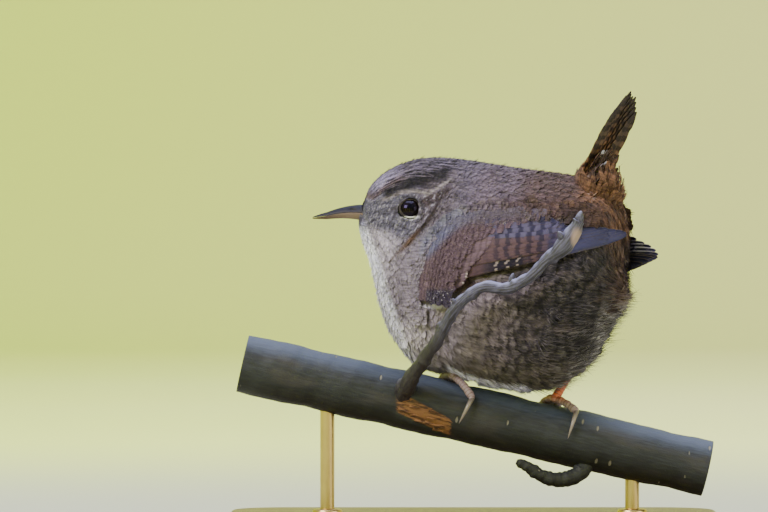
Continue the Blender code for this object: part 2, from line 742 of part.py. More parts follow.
def toe(joint_x, joint_angle, end_x, end_angle, claw_x, claw_angle, reach):
    """A toe that follows the branch from the joint, with a curved claw that ends on the bark."""
    count = 10
    points, radii = [], []
    for i in range(count):
        t = i / (count - 1)
        share = min(t / 0.66, 1.0)
        claw = max((t - 0.66) / 0.34, 0.0)
        x = joint_x + end_x * share + (claw_x - end_x) * claw
        angle = joint_angle + (end_angle - joint_angle) * share + (claw_angle - end_angle) * claw
        lift = 0.5 * math.sin(math.pi * claw) - 0.55 * claw
        points.append(round_branch(x, angle, reach + lift))
        pads = 1 + 0.1 * math.cos(t * 26)
        radii.append(TOE_RADIUS * pads if claw == 0 else TOE_RADIUS * (0.72 - 0.6 * claw))
    return new_object("toe", tube(points, radii, 7))


# The stand


def make_stand(materials):
    length, depth, height = BASE_SIZE
    bm = bmesh.new()
    outline = []
    for cx, cy, start in ((1, 1, 0), (-1, 1, 90), (-1, -1, 180), (1, -1, 270)):
        for i in range(7):
            turn = math.radians(start + 15 * i)
            x = cx * (length / 2 - BASE_CORNER) + BASE_CORNER * math.cos(turn)
            y = cy * (depth / 2 - BASE_CORNER) + BASE_CORNER * math.sin(turn)
            outline.append(bm.verts.new((x, y, 0)))
    floor = bm.faces.new(outline)
    grown = bmesh.ops.extrude_face_region(bm, geom=[floor])
    risen = [v for v in grown["geom"] if isinstance(v, bmesh.types.BMVert)]
    bmesh.ops.translate(bm, verts=risen, vec=(0, 0, height))
    bmesh.ops.recalc_face_normals(bm, faces=bm.faces)
    rim = [e for e in bm.edges if all(v.co.z > height - 1e-6 for v in e.verts)]
    bmesh.ops.bevel(bm, geom=rim, offset=BASE_BEVEL, segments=3, profile=0.5, affect="EDGES", material=-1)
    new_object("stand_base", bm, materials["base"])
    for i, x in enumerate(ROD_PLACES):
        low = Vector((x, 0, height + GAP))
        high = Vector((x, 0, branch_axis(x).z))
        name = ("stand_rod_left", "stand_rod_right")[i]
        rod = new_object(name, tube([low, high], [ROD_RADIUS] * 2, 20), materials["rod"])
        cut(rod, new_object("grown_branch", branch_bmesh(GAP)))


# Materials and the whole


def make_materials():
    looks = {
        "plumage": ((0.30, 0.20, 0.13), 0.85, 0.0),
        "wing": ((0.24, 0.13, 0.08), 0.7, 0.0),
        "eye": ((0.01, 0.008, 0.008), 0.06, 0.0),
        "bill": ((0.12, 0.09, 0.08), 0.4, 0.0),
        "foot": ((0.42, 0.24, 0.2), 0.55, 0.0),
        "bark": ((0.1, 0.1, 0.1), 0.8, 0.0),
        "base": ((0.1, 0.07, 0.05), 0.45, 0.0),
        "rod": ((0.5, 0.38, 0.2), 0.3, 1.0),
    }
    made = {}
    for name, (colour, roughness, metallic) in looks.items():
        material = bpy.data.materials.new(name)
        material.use_nodes = True
        shader = material.node_tree.nodes["Principled BSDF"]
        shader.inputs["Base Color"].default_value = (*colour, 1)
        shader.inputs["Roughness"].default_value = roughness
        shader.inputs["Metallic"].default_value = metallic
        made[name] = material
    return made


def finish():
    """Turns every solid from millimetres to metres, and shades the round ones smooth."""
    for obj in list(bpy.context.scene.collection.objects):
        for vert in obj.data.vertices:
            vert.co *= METRES
        obj.data.shade_smooth()
        obj.data.set_sharp_from_angle(angle=math.radians(40))


def main():
    for obj in list(bpy.data.objects):
        bpy.data.objects.remove(obj)
    materials = make_materials()
    half_width = flank_finder()
    make_perch(materials)
    make_head(materials, half_width)
    make_bill(materials)
    neck = keep_between(body_bmesh(40, 28), front=HEAD_CUT, back=NECK_CUT)
    new_object("neck", neck, materials["plumage"])
    torso = new_object("torso", keep_between(body_bmesh(39, 32), front=NECK_CUT), materials["plumage"])
    cut(torso, new_object("grown_branch", branch_bmesh(GAP)))
    for name, side in (("left", -1), ("right", 1)):
        make_wing("wing_" + name, side, materials, half_width)
    make_tail(materials)
    start, end, radius = FOOT_ROOM
    room = tube([branch_axis(start), branch_axis(end)], [radius] * 2, 24)
    cut(torso, new_object("foot_room", room))
    for name in FEET:
        make_foot(name, materials, torso)
    make_stand(materials)
    finish()


main()
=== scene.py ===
# %% [markdown]
# # A wren on a cut branch, finished in Blender
#
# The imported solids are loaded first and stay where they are. They give the bird's true size and outline, but
# their feathers are few and thick. Everything below is built over them in the same frame: a skin with a coat
# of small feathers, finer wings and tail, eyes, bill, feet, bark and stand. Places are worked out in
# millimetres, which are easy to picture at a wren's size.

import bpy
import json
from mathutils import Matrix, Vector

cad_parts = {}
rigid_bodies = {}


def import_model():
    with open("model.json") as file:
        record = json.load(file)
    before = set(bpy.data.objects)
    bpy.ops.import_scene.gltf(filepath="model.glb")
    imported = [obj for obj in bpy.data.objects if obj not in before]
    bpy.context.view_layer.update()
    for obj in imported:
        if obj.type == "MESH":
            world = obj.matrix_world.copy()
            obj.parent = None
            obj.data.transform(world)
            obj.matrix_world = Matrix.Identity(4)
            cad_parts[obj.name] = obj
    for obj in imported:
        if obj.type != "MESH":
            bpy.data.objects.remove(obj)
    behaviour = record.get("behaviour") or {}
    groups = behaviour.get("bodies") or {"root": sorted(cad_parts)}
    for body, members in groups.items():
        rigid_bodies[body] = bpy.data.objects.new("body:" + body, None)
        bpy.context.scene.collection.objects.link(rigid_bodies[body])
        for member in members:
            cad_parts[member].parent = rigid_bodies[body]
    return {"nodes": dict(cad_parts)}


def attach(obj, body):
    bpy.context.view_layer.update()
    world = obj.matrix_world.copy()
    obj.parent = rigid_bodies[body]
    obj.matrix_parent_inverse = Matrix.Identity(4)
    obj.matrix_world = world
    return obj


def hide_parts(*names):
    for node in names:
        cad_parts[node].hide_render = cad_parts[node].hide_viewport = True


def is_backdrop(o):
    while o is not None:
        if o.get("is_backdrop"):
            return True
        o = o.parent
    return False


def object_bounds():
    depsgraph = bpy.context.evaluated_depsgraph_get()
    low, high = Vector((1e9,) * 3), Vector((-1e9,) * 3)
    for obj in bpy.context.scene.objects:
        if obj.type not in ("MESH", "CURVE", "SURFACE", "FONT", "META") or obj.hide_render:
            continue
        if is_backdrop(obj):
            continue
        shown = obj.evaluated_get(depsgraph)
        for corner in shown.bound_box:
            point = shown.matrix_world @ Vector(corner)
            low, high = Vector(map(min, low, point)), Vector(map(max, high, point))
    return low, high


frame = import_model()
solid_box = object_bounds()
print("solids:", len(frame["nodes"]), "nodes, from", solid_box[0], "to", solid_box[1])

# %% What the rest is made with
import json
import math

import bmesh
import bpy
import numpy as np
from mathutils import Matrix, Vector
from mathutils.bvhtree import BVHTree

MM = 0.001

# %% [markdown]
# ## Camera
#
# The photograph is taken from far away with a long lens, level with the bird. At the bird, one pixel is 0.21
# mm, so a lens that sees 768 of them from 1.15 m gives the same framing, with outlines nearly parallel.

# %% Camera
PIXEL = 0.21
PHOTO_WIDTH = 768
VIEW_FROM = (-19.1, -1150.0, 61.2)
SENSOR = 36.0

camera = bpy.data.objects.new("camera", bpy.data.cameras.new("camera"))
camera.data.sensor_width = SENSOR
camera.data.lens = SENSOR * -VIEW_FROM[1] / (PHOTO_WIDTH * PIXEL)
camera.data.clip_start = 0.05
camera.location = Vector(VIEW_FROM) * MM
camera.rotation_euler = (math.radians(90), 0, 0)
bpy.context.scene.collection.objects.link(camera)
bpy.context.scene.camera = camera
print("lens:", round(camera.data.lens, 1), "mm")

# %% [markdown]
# ## Writing shaders as sums
#
# A shader is a net of nodes, and long nets are hard to read. Here two small classes let Python do the
# wiring. `Wire` is a node's output, so `1 - mask` adds the Math node that it needs. `Finish` is a new
# material, and its `node` adds any other node. Colours are laid over each other by `mixed` and `painted`,
# since a Math node would turn them grey. A wire knows its finish, so they aren't told it.

# %% Wire and Finish


class Wire:
    """A node's output, which Python can calculate with."""

    def __init__(self, finish, socket):
        self.finish = finish
        self.socket = socket

    def math(self, operation, first, second=0.0):
        return self.finish.node("ShaderNodeMath", {"operation": operation}, {0: first, 1: second})

    def absolute(self):
        return self.math("ABSOLUTE", self)

    def sine(self):
        return self.math("SINE", self)

    def cosine(self):
        return self.math("COSINE", self)

    def __add__(self, other):
        return self.math("ADD", self, other)

    def __radd__(self, other):
        return self.math("ADD", other, self)

    def __sub__(self, other):
        return self.math("SUBTRACT", self, other)

    def __rsub__(self, other):
        return self.math("SUBTRACT", other, self)

    def __mul__(self, other):
        return self.math("MULTIPLY", self, other)

    def __rmul__(self, other):
        return self.math("MULTIPLY", other, self)

    def __pow__(self, other):
        return self.math("POWER", self, other)

    def __rpow__(self, other):
        return self.math("POWER", other, self)


class Finish:
    """A new material, whose nodes are added by one method."""

    def __init__(self, name, **plain):
        self.material = bpy.data.materials.new(name)
        self.material.use_nodes = True
        self.shader = self.material.node_tree.nodes["Principled BSDF"]
        self.give(**plain)

    def __str__(self):
        return f"{self.material.name}: {len(self.material.node_tree.nodes)} nodes"

    def node(self, kind, settings=None, values=None, output=0):
        """Adds a node: its settings first, then the values or links of its sockets."""
        made = self.material.node_tree.nodes.new(kind)
        for key, value in (settings or {}).items():
            if key == "stops":
                self.stops(made.color_ramp, value)
            else:
                setattr(made, key, value)
        for key, value in (values or {}).items():
            self.feed(made.inputs[key], value)
        return Wire(self, made.outputs[output])

    def stops(self, ramp, stops):
        while len(ramp.elements) > 1:
            ramp.elements.remove(ramp.elements[-1])
        for i, (position, colour) in enumerate(stops):
            element = ramp.elements[0] if i == 0 else ramp.elements.new(position)
            element.position = position
            element.color = (*colour, 1)

    def feed(self, socket, value):
        if isinstance(value, Wire):
            self.material.node_tree.links.new(value.socket, socket)
        elif isinstance(value, tuple) and len(value) == 3 and socket.type == "RGBA":
            socket.default_value = (*value, 1)
        else:
            socket.default_value = value

    def give(self, **values):
        """Gives the shader's own sockets their values or links, such as its Base Color by base_color."""
        for words, value in values.items():
            self.feed(self.shader.inputs[words.replace("_", " ").title().replace("Ior", "IOR")], value)


# %% Short words for the nodes that are used most


def parts(vector):
    """The three numbers of a vector."""
    split = vector.finish.node("ShaderNodeSeparateXYZ", values={0: vector})
    return tuple(Wire(vector.finish, socket) for socket in split.socket.node.outputs)


def attribute(finish, name):
    """A vector stored on the mesh, as three wires and the vector itself."""
    vector = finish.node("ShaderNodeAttribute", {"attribute_name": name}, output=1)
    return (*parts(vector), vector)


def object_place(finish):
    """Where a point is on the still model, in metres."""
    return finish.node("ShaderNodeTexCoord", output="Object")


def joined(x, y, z):
    return x.finish.node("ShaderNodeCombineXYZ", values={0: x, 1: y, 2: z})


def mixed(under, over, mask, mode="MIX"):
    """One colour over another where the mask is 1. The mode MULTIPLY darkens by it instead."""
    finish = next(value.finish for value in (under, over, mask) if isinstance(value, Wire))
    settings = {"data_type": "RGBA", "blend_type": mode, "clamp_factor": True}
    return finish.node("ShaderNodeMix", settings, {0: mask, 6: under, 7: over}, output=2)


def painted(colour, *coats):
    """A colour under coats of paint. Each coat is a colour and the mask of where it covers."""
    for over, mask in coats:
        colour = mixed(colour, over, mask)
    return colour


def shaded(colour, shade, green, blue):
    """A colour times a shade whose green and blue are a little off grey."""
    return mixed(colour, joined(shade, shade * green, shade * blue), 1.0, "MULTIPLY")


def step(value, low, high):
    """From 0 at low to 1 at high, smoothly. Where low is the greater, it falls instead."""
    if low > high:
        return 1 - step(value, high, low)
    settings = {"interpolation_type": "SMOOTHSTEP"}
    return value.finish.node("ShaderNodeMapRange", settings, {0: value, 1: low, 2: high})


def grain(vector, scale, detail=2.0, rough=0.5):
    values = {"Vector": vector, "Scale": scale, "Detail": detail, "Roughness": rough}
    return vector.finish.node("ShaderNodeTexNoise", values=values)


def stretched(vector, scale):
    """The same vector, scaled, for a grain that runs one way."""
    return vector.finish.node("ShaderNodeMapping", values={"Vector": vector, "Scale": scale})


def bump(height, depth):
    """A relief of a height from 0 to 1, depth in metres."""
    values = {"Height": height, "Distance": depth, "Strength": 1.0}
    return height.finish.node("ShaderNodeBump", values=values)


# %% [markdown]
# ## Stage and light
#
# A plain pale floor that curves up into a low wall all round gives an even backdrop from every side. It is
# one profile, spun full circle, because a flat backdrop would show its edges in other views.

# %% Floor
FLOOR_RADIUS = 3.4
SWEEP_RADIUS = 0.9

bm = bmesh.new()
profile = [bm.verts.new((0, 0, 0))]
for i in range(13):
    turn = math.radians(90 * i / 12)
    out = FLOOR_RADIUS - SWEEP_RADIUS * (1 - math.sin(turn))
    profile.append(bm.verts.new((out, 0, SWEEP_RADIUS * (1 - math.cos(turn)))))
profile.append(bm.verts.new((FLOOR_RADIUS, 0, 2.2)))
edges = [bm.edges.new(pair) for pair in zip(profile, profile[1:])]
bmesh.ops.spin(
    bm, geom=profile + edges, cent=(0, 0, 0), axis=(0, 0, 1), angle=2 * math.pi, steps=72, use_merge=True
)
bmesh.ops.remove_doubles(bm, verts=bm.verts, dist=0.0001)
bmesh.ops.recalc_face_normals(bm, faces=bm.faces)
if bm.faces[0].normal.z < 0:
    bmesh.ops.reverse_faces(bm, faces=bm.faces)
mesh = bpy.data.meshes.new("floor")
bm.to_mesh(mesh)
bm.free()
mesh.shade_smooth()
floor = bpy.data.objects.new("floor", mesh)
bpy.context.scene.collection.objects.link(floor)
floor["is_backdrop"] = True
print("floor:", len(mesh.polygons), "faces")

# %% [markdown]
# The paper is tinted far out, greener on the left and more beige on the right, so that the bird's outline
# stands against a like tone. Near the bird it is a darker grey, painted shade that tones down the bright pool
# of the key light there and keeps green light from bouncing onto the bird.

# %% Paper
paper = Finish("paper", roughness=0.9)
place = object_place(paper)
ox, oy, oz = parts(place)
cloudy = step(ox + grain(place, 1.3, 1.0) * 0.4, -0.25, 0.55)
tinted = mixed((0.86, 1.0, 0.15), (0.92, 0.92, 0.38), cloudy)
# Darker grey near the bird: painted shade against the key light's bright pool there.
far = step((ox * ox + oy * oy) ** 0.5, 0.15, 0.7)
paper.give(base_color=mixed((0.50, 0.50, 0.38), tinted, far))
mesh.materials.append(paper.material)
print(paper)

# %% [markdown]
# The light is a large soft panel from the upper left, where the photograph's light comes from. A wider,
# bluish one overhead cools the shade, a weak one from the right lifts the tail's shade, and a pale world
# fills the rest. Small lamps would give hard shadows.

# %% Lights


def panel(name, place, size, watts, colour):
    """A square softbox at a place in metres, that faces the bird."""
    light = bpy.data.lights.new(name, "AREA")
    light.size = size
    light.energy = watts
    light.color = colour
    lamp = bpy.data.objects.new(name, light)
    lamp.location = place
    aim = Vector((0, 0, 0.06)) - Vector(place)
    lamp.rotation_euler = aim.to_track_quat("-Z", "Y").to_euler()
    bpy.context.scene.collection.objects.link(lamp)


panel("key", (-1.2, -1.3, 1.5), 1.0, 66, (1.0, 0.96, 1.0))
panel("sky", (0.1, 0.3, 2.0), 1.6, 50, (0.72, 0.80, 1.0))
panel("side", (1.7, -0.9, 0.7), 1.2, 12, (1.0, 0.97, 1.0))
world = bpy.data.worlds.new("world")
world.use_nodes = True
world.node_tree.nodes["Background"].inputs["Color"].default_value = (0.92, 0.92, 1.0, 1)
world.node_tree.nodes["Background"].inputs["Strength"].default_value = 0.72
bpy.context.scene.world = world
print("panels:", [light.name for light in bpy.data.lights])

# %% [markdown]
# ## The straight bird
#
# The bird stands with its body turned a little away from its head. Its outline is drawn straight and turned
# afterwards. It is a row of stations: at each, the x and z of its top and its bottom, and half of its width.
# They follow the solids, and lie inside them by up to 2 mm at the rear and half a millimetre at the forehead
# and throat, because the feathers' tips stand out from this line. `s` counts stations along a smooth curve
# from the face to the vent, and `angle` runs round the body from its top. The functions take whole arrays,
# so that thousands of feathers are set at once.

# %% Curve, body outline and turn of the bird
FACE_POLE = (-24.3, 70.1)
VENT_POLE = (30.4, 53.0)
STATIONS = (
    (-23.2, 72.8, -24.3, 67.5, 2.7),
    (-21.4, 76.4, -23.7, 64.8, 4.9),
    (-17.2, 79.7, -22.8, 62.4, 6.9),
    (-10.8, 81.7, -21.7, 59.4, 8.5),
    (-3.4, 81.5, -20.7, 55.0, 10.4),
    (3.2, 80.5, -19.4, 49.8, 12.7),
    (9.6, 79.4, -17.0, 44.2, 15.0),
    (16.0, 78.6, -12.2, 38.6, 17.0),
    (21.6, 77.6, -4.4, 35.8, 18.0),
    (26.4, 75.9, 5.6, 33.8, 17.8),
    (29.4, 72.8, 14.8, 33.9, 16.2),
    (30.4, 67.2, 21.6, 38.5, 13.0),
    (29.8, 60.4, 25.9, 46.0, 7.6),
)
BELLY_SHIFT = 0.12
LAST = len(STATIONS) + 1

BODY_YAW = math.tan(math.radians(20))
HEAD_YAW = math.tan(math.radians(5))
TURN_X = 6.0
NECK_BACK_X = 3.0
NECK_FRONT_X = -14.0


def through(points, s):
    """The smooth curve through rows of numbers, where s counts rows."""
    points = np.asarray(points, float)
    last = len(points) - 1
    i = np.clip(np.floor(s).astype(int), 0, last - 1)
    t = (s - i)[..., None]
    a, b, c, d = (points[np.clip(i + k, 0, last)] for k in (-1, 0, 1, 2))
    return 0.5 * (2 * b + (c - a) * t + (2 * a - 5 * b + 4 * c - d) * t**2 + (3 * b - a - 3 * c + d) * t**3)


def body_profile():
    """The stations with a pole at either end, and one more beyond each, upside down, to round it off."""
    swap = [(s[2], s[3], s[0], s[1], -s[4]) for s in (STATIONS[0], STATIONS[-1])]
    return np.array([swap[0], (*FACE_POLE, *FACE_POLE, 0), *STATIONS, (*VENT_POLE, *VENT_POLE, 0), swap[1]])


def body_line(s, angle):
    """Points of the plumage's outer line, straight bird."""
    row = through(body_profile(), s + 1)
    middle = (row[..., 0:2] + row[..., 2:4]) / 2
    up = (row[..., 0:2] - row[..., 2:4]) / 2
    height = np.cos(angle)
    height = height - BELLY_SHIFT * (1 - height * height)
    side = row[..., 4] * np.sin(angle)
    return np.stack([middle[..., 0] + up[..., 0] * height, side, middle[..., 1] + up[..., 1] * height], -1)


def unit(vectors):
    return vectors / np.maximum(np.linalg.norm(vectors, axis=-1, keepdims=True), 1e-9)


def body_ways(s, angle):
    """How the plumage line runs at each place: along s, round the body, and straight out."""
    e = 0.02
    along = (body_line(s + e, angle) - body_line(s - e, angle)) / (2 * e)
    around = (body_line(s, angle + e) - body_line(s, angle - e)) / (2 * e)
    inside = (s > 0) & (s < LAST)
    out = unit(np.cross(along, around)) * np.where(inside, 1.0, -1.0)[..., None]
    return along, around, out


def over_body(s, angle, height):
    """Points at a height in mm over the plumage line."""
    return body_line(s, angle) + height[..., None] * body_ways(s, angle)[2]


def turned(points):
    """The straight bird's points, as it stands."""
    points = np.asarray(points, float)
    x, y = points[..., 0], points[..., 1]
    reach = NECK_BACK_X - NECK_FRONT_X
    t = (NECK_BACK_X - x) / reach
    blend = np.clip(t, 0, 1)
    share = blend * blend * (3 - 2 * blend)
    area = blend**3 - blend**4 / 2 + np.maximum(t - 1, 0)
    yaw = np.arctan(BODY_YAW + (HEAD_YAW - BODY_YAW) * share)
    middle = -BODY_YAW * (x - TURN_X) - (BODY_YAW - HEAD_YAW) * reach * area
    return np.stack([x + y * np.sin(yaw), middle + y * np.cos(yaw), points[..., 2]], -1)


check = body_ways(np.array([6.0]), np.array([0.0]))[2][0]
print("out of the back:", np.round(check, 2))

# %% [markdown]
# ## The branch, as a place to keep clear of
#
# The bird sits on the branch, so its coat is pressed aside there. The branch is a straight line with a
# radius. Points that would lie in the bark are moved out of it, and those round the near foot a little more.

# %% Branch line and what lies on it
BRANCH_RADIUS = 6.0
BRANCH_HALF_LENGTH = 50.0
BRANCH_Z = 27.6
BRANCH_SLOPE = math.radians(12.8)
FOOT_ROOM = (-11.2, -1.6, 8.7)
BRANCH_ALONG = np.array([math.cos(BRANCH_SLOPE), 0, -math.sin(BRANCH_SLOPE)])
BRANCH_UP = np.array([math.sin(BRANCH_SLOPE), 0, math.cos(BRANCH_SLOPE)])


def branch_axis(x):
    return np.array([x, 0.0, BRANCH_Z - math.tan(BRANCH_SLOPE) * x])


def round_branch(along_x, angle, distance):
    """A point near the branch: x of its place, degrees from its top towards -Y, and distance in mm."""
    turn = math.radians(angle)
    out = math.cos(turn) * BRANCH_UP - math.sin(turn) * np.array([0, 1, 0])
    return branch_axis(along_x) + distance * out


def branch_radius(x):
    swell = 0.08 * np.exp(-(((x + 15.0) / 3.2) ** 2)) + 0.3 * np.exp(-(((x - 25.0) / 4.0) ** 2))
    return BRANCH_RADIUS + swell + 0.12 * np.sin(x * 0.42) - 0.004 * x


def clear_of_branch(points, room=0.35):
    """Moves the points that lie in the branch, or in the room of the near foot, straight out of it."""
    start = branch_axis(0)
    along = (points - start) @ BRANCH_ALONG
    foot = start + along[..., None] * BRANCH_ALONG
    out = points - foot
    distance = np.linalg.norm(out, axis=-1)
    x = foot[..., 0]
    low, high, wide = FOOT_ROOM
    edge = np.clip(np.minimum(x - low, high - x) / 0.8 + 1, 0, 1)
    need = branch_radius(x) + room
    need = need + (wide - need) * edge
    push = np.maximum(need - distance, 0) * (distance < need)
    return points + out / np.maximum(distance, 1e-6)[..., None] * push[..., None]


# %% [markdown]
# ## From arrays to a piece
#
# A bmesh operator makes one shape at a time, which suits a branch or a toe. Thousands of feathers would take
# it minutes, so they are joined meshes, made from arrays of points and of triangles. Both ways end in
# `piece`, which makes the object and ties it to the model. The vectors that the materials read are stored on
# the mesh, and millimetres turn to metres last.

# %% Pieces


def piece(mesh, name, material, replaces=()):
    """Makes an object of a mesh in metres, ties it to the model's root body, and hides the solids it replaces.
    """
    mesh.name = name
    mesh.materials.clear()
    mesh.materials.append(material)
    made = bpy.data.objects.new(name, mesh)
    bpy.context.scene.collection.objects.link(made)
    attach(made, "root")
    if replaces:
        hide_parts(*replaces)
    print(name + ":", len(mesh.polygons), "faces")
    return made


def mesh_from(points, corners, **vectors):
    """A mesh from points in mm, the corners of each face, and named vectors for each point."""
    mesh = bpy.data.meshes.new("made")
    mesh.from_pydata(points * MM, [], corners)
    for name, values in vectors.items():
        store = mesh.attributes.new(name, "FLOAT_VECTOR", "POINT")
        store.data.foreach_set("vector", np.ascontiguousarray(values, np.float32).ravel())
    mesh.shade_smooth()
    return mesh


def grid_faces(rows, columns):
    """The corners of each face of a grid of points, row by row."""
    start = (np.arange(rows - 1)[:, None] * columns + np.arange(columns - 1)).reshape(-1, 1)
    return start + np.array([0, 1, columns + 1, columns])


def finished(bm, name, material, replaces=(), smooth=True):
    """A piece from a bmesh in mm."""
    bmesh.ops.scale(bm, verts=bm.verts, vec=(MM, MM, MM))
    mesh = bpy.data.meshes.new(name)
    bm.normal_update()
    bm.to_mesh(mesh)
    bm.free()
    if smooth:
        mesh.shade_smooth()
    return piece(mesh, name, material, replaces)


# %% Closed tubes and sweeps


def rings(count, sides):
    """A closed tube of rings, all still one circle, with each vertex's turn in radians and ring number."""
    bm = bmesh.new()
    turn_layer = bm.verts.layers.float.new("turn")
    ring_layer = bm.verts.layers.float.new("ring")
    last = bmesh.ops.create_circle(bm, segments=sides, radius=1.0)["verts"]
    for vert in last:
        vert[turn_layer] = math.atan2(vert.co.y, vert.co.x) % (2 * math.pi)
    first = list(last)
    edges = bm.edges[:]
    for i in range(1, count):
        grown = bmesh.ops.extrude_edge_only(bm, edges=edges)["geom"]
        edges = [g for g in grown if isinstance(g, bmesh.types.BMEdge)]
        last = [g for g in grown if isinstance(g, bmesh.types.BMVert)]
        for vert in last:
            vert[ring_layer] = i
    for ends in (first, last):
        bmesh.ops.contextual_create(bm, geom=ends)
    turn = np.array([v[turn_layer] for v in bm.verts])
    ring = np.array([v[ring_layer] for v in bm.verts])
    return bm, turn, ring


def put(bm, points):
    """Moves the vertices to their places in mm, and turns the faces outwards."""
    for vert, place in zip(bm.verts, points):
        vert.co = place
    bmesh.ops.recalc_face_normals(bm, faces=bm.faces)


def keep_vectors(bm, **vectors):
    """Stores named vectors on the vertices, for the materials."""
    for name, values in vectors.items():
        layer = bm.verts.layers.float_vector.new(name)
        for vert, value in zip(bm.verts, values):
            vert[layer] = value


def path_frames(line):
    """At each point of a line, its direction and two directions across it that don't twist."""
    along = unit(np.gradient(line, axis=0))
    across = np.zeros_like(along)
    start = np.cross(along[0], (0.0, 0.0, 1.0))
    if np.linalg.norm(start) < 0.1:
        start = np.cross(along[0], (0.0, 1.0, 0.0))
    across[0] = unit(start)
    for i in range(1, len(line)):
        carried = across[i - 1] - along[i] * (across[i - 1] @ along[i])
        across[i] = unit(carried)
    return along, across, np.cross(along, across)


def sweep(path, radii, sides, count, relief=None):
    """A closed tube through points in mm. `way` is the cosine and sine of the turn, and mm along."""
    share = np.linspace(0, len(path) - 1, count)
    line = through(path, share)
    size = through(np.asarray(radii, float)[:, None], share)[:, 0]
    along, across, third = path_frames(line)
    length = np.concatenate([[0], np.cumsum(np.linalg.norm(np.diff(line, axis=0), axis=1))])
    bm, turn, ring = rings(count, sides)
    i = ring.astype(int)
    radius = size[i]
    if relief:
        radius = radius + relief(turn, length[i])
    out = np.cos(turn)[:, None] * across[i] + np.sin(turn)[:, None] * third[i]
    put(bm, line[i] + radius[:, None] * out)
    keep_vectors(bm, way=np.stack([np.cos(turn), np.sin(turn), length[i]], -1))
    return bm


# %% [markdown]
# ## Skin
#
# Under the feathers lies one closed skin, so that no seam shows between head, neck and body. A circle of
# vertices is drawn out ring by ring from the face to the vent, and each ring is put on the body's line, sunk
# by the depth of the coat. It could be three closed forms that overlap, but their joints would show where
# the coat is thin. The same angle and `s` later give the coat its unwrap.

# %% How deep and how long the coat is
BILL_MIDDLE_Z = 70.15


def under_share(angle):
    return (1 - np.cos(angle)) / 2


def coat_depth(s, angle):
    deep = np.interp(s, (0.0, 0.7, 1.3, 3.0, 5.0, 7.0, 9.0, 14.0), (0.9, 0.5, 0.4, 0.45, 0.6, 1.1, 1.5, 1.7))
    return deep * (1 + 0.2 * under_share(angle))


def feather_length(s, angle):
    sizes = (1.0, 1.35, 1.9, 2.3, 3.0, 4.0, 5.0, 5.8, 6.4, 5.6, 3.4)
    long = np.interp(s, (0.5, 1.5, 3.0, 4.5, 5.8, 7.0, 8.5, 10.0, 12.0, 13.0, 14.0), sizes)
    return long * (1 + 0.12 * under_share(angle))


def round_the_bill(flat):
    """Presses the straight bird in beside the bill, so that the bill comes out of a fold of the face."""
    x, y, z = flat[..., 0], flat[..., 1], flat[..., 2]
    rise = (z - BILL_MIDDLE_Z) / 1.95
    room = 1.42 * np.sqrt(np.clip(1 - rise * rise, 0.02, 1))
    front = np.clip((-22.1 - 0.42 * (z - 69.2) - x) / 1.0, 0, 1)
    near = np.exp(-(rise**6))
    over = np.maximum(np.abs(y) - room, 0) * front * near
    return np.stack([x, y - np.sign(y) * over, z], -1)


def flow_of(s, angle):
    """Coordinates that run with the feathers: about mm from the face, then cosine and sine of the angle."""
    climb = np.interp(s, (0.6, 1.6, 3.6, 5.5), (0, 0.14, 0.60, 0.80)) * (1 + np.cos(angle)) / 2
    turned_by = angle + climb * np.sin(angle)
    return np.stack([s * 5.5, np.cos(turned_by), np.sin(turned_by)], -1)


# %% Skin mesh
SKIN_RINGS = 110
SKIN_SIDES = 80

bm, turn, ring = rings(SKIN_RINGS, SKIN_SIDES)
skin_s = 0.05 + (LAST - 0.1) * ring / (SKIN_RINGS - 1)
skin_flat = over_body(skin_s, turn, -coat_depth(skin_s, turn))
put(bm, clear_of_branch(turned(round_the_bill(skin_flat)), 0.2))
skin_flow = flow_of(skin_s, turn)
keep_vectors(bm, place=skin_flat, sample=skin_flat, vane=np.full_like(skin_flat, 0.5), flow=skin_flow)
skin_bm = bm
print("skin:", len(bm.verts), "vertices")

# %% [markdown]
# ## Plumage colours
#
# A wren's markings are drawn here as functions of the straight bird's own places, in millimetres. They could
# be painted on an unwrap, but a function stays sharp at any size, and skin and coat agree wherever a feather
# ends. Four vectors on the meshes carry what is needed. `place` is the point itself, and `sample` is where
# its feather shows, so that a whole feather takes one tone. On the head, whose lines are finer than its
# feathers, `place` counts more. `vane` holds how far across the feather a point is, how many millimetres
# from its tip, and a random number of the feather. `flow` runs with the feathers. Stripes on the head follow
# lines z = f(x), which a ramp of grey stops can hold.

# %% Lines and spots on the bird's side


def line_height(x, points, low=20.0, high=100.0):
    """The z of a line through points (x, z), in mm, at each x."""
    finish = x.finish
    first, last = points[0][0], points[-1][0]
    share = (x - first) * (1 / (last - first))
    stops = []
    for px, pz in points:
        grey = (pz - low) / (high - low)
        stops.append(((px - first) / (last - first), (grey, grey, grey)))
    ramp = finish.node("ShaderNodeValToRGB", {"stops": stops}, {0: share})
    return ramp * (high - low) + low


def band(x, z, points, half, soft=0.5):
    """1 on the line through points, 0 beyond half a width in mm from it, faded at its ends."""
    away = (z - line_height(x, points)).absolute()
    across = step(away, half + soft, half - soft)
    first, last = points[0][0], points[-1][0]
    return across * (step(x, first - 1.2, first + 0.6) * step(x, last + 1.2, last - 0.6))


def spot(x, z, middle, wide, tall, soft=0.5):
    """1 inside an ellipse round middle, 0 outside. soft is the faded part's share."""
    dx = (x - middle[0]) * (1 / wide)
    dz = (z - middle[1]) * (1 / tall)
    away = (dx * dx + dz * dz) ** 0.5
    return step(away, 1 + soft, 1 - soft)
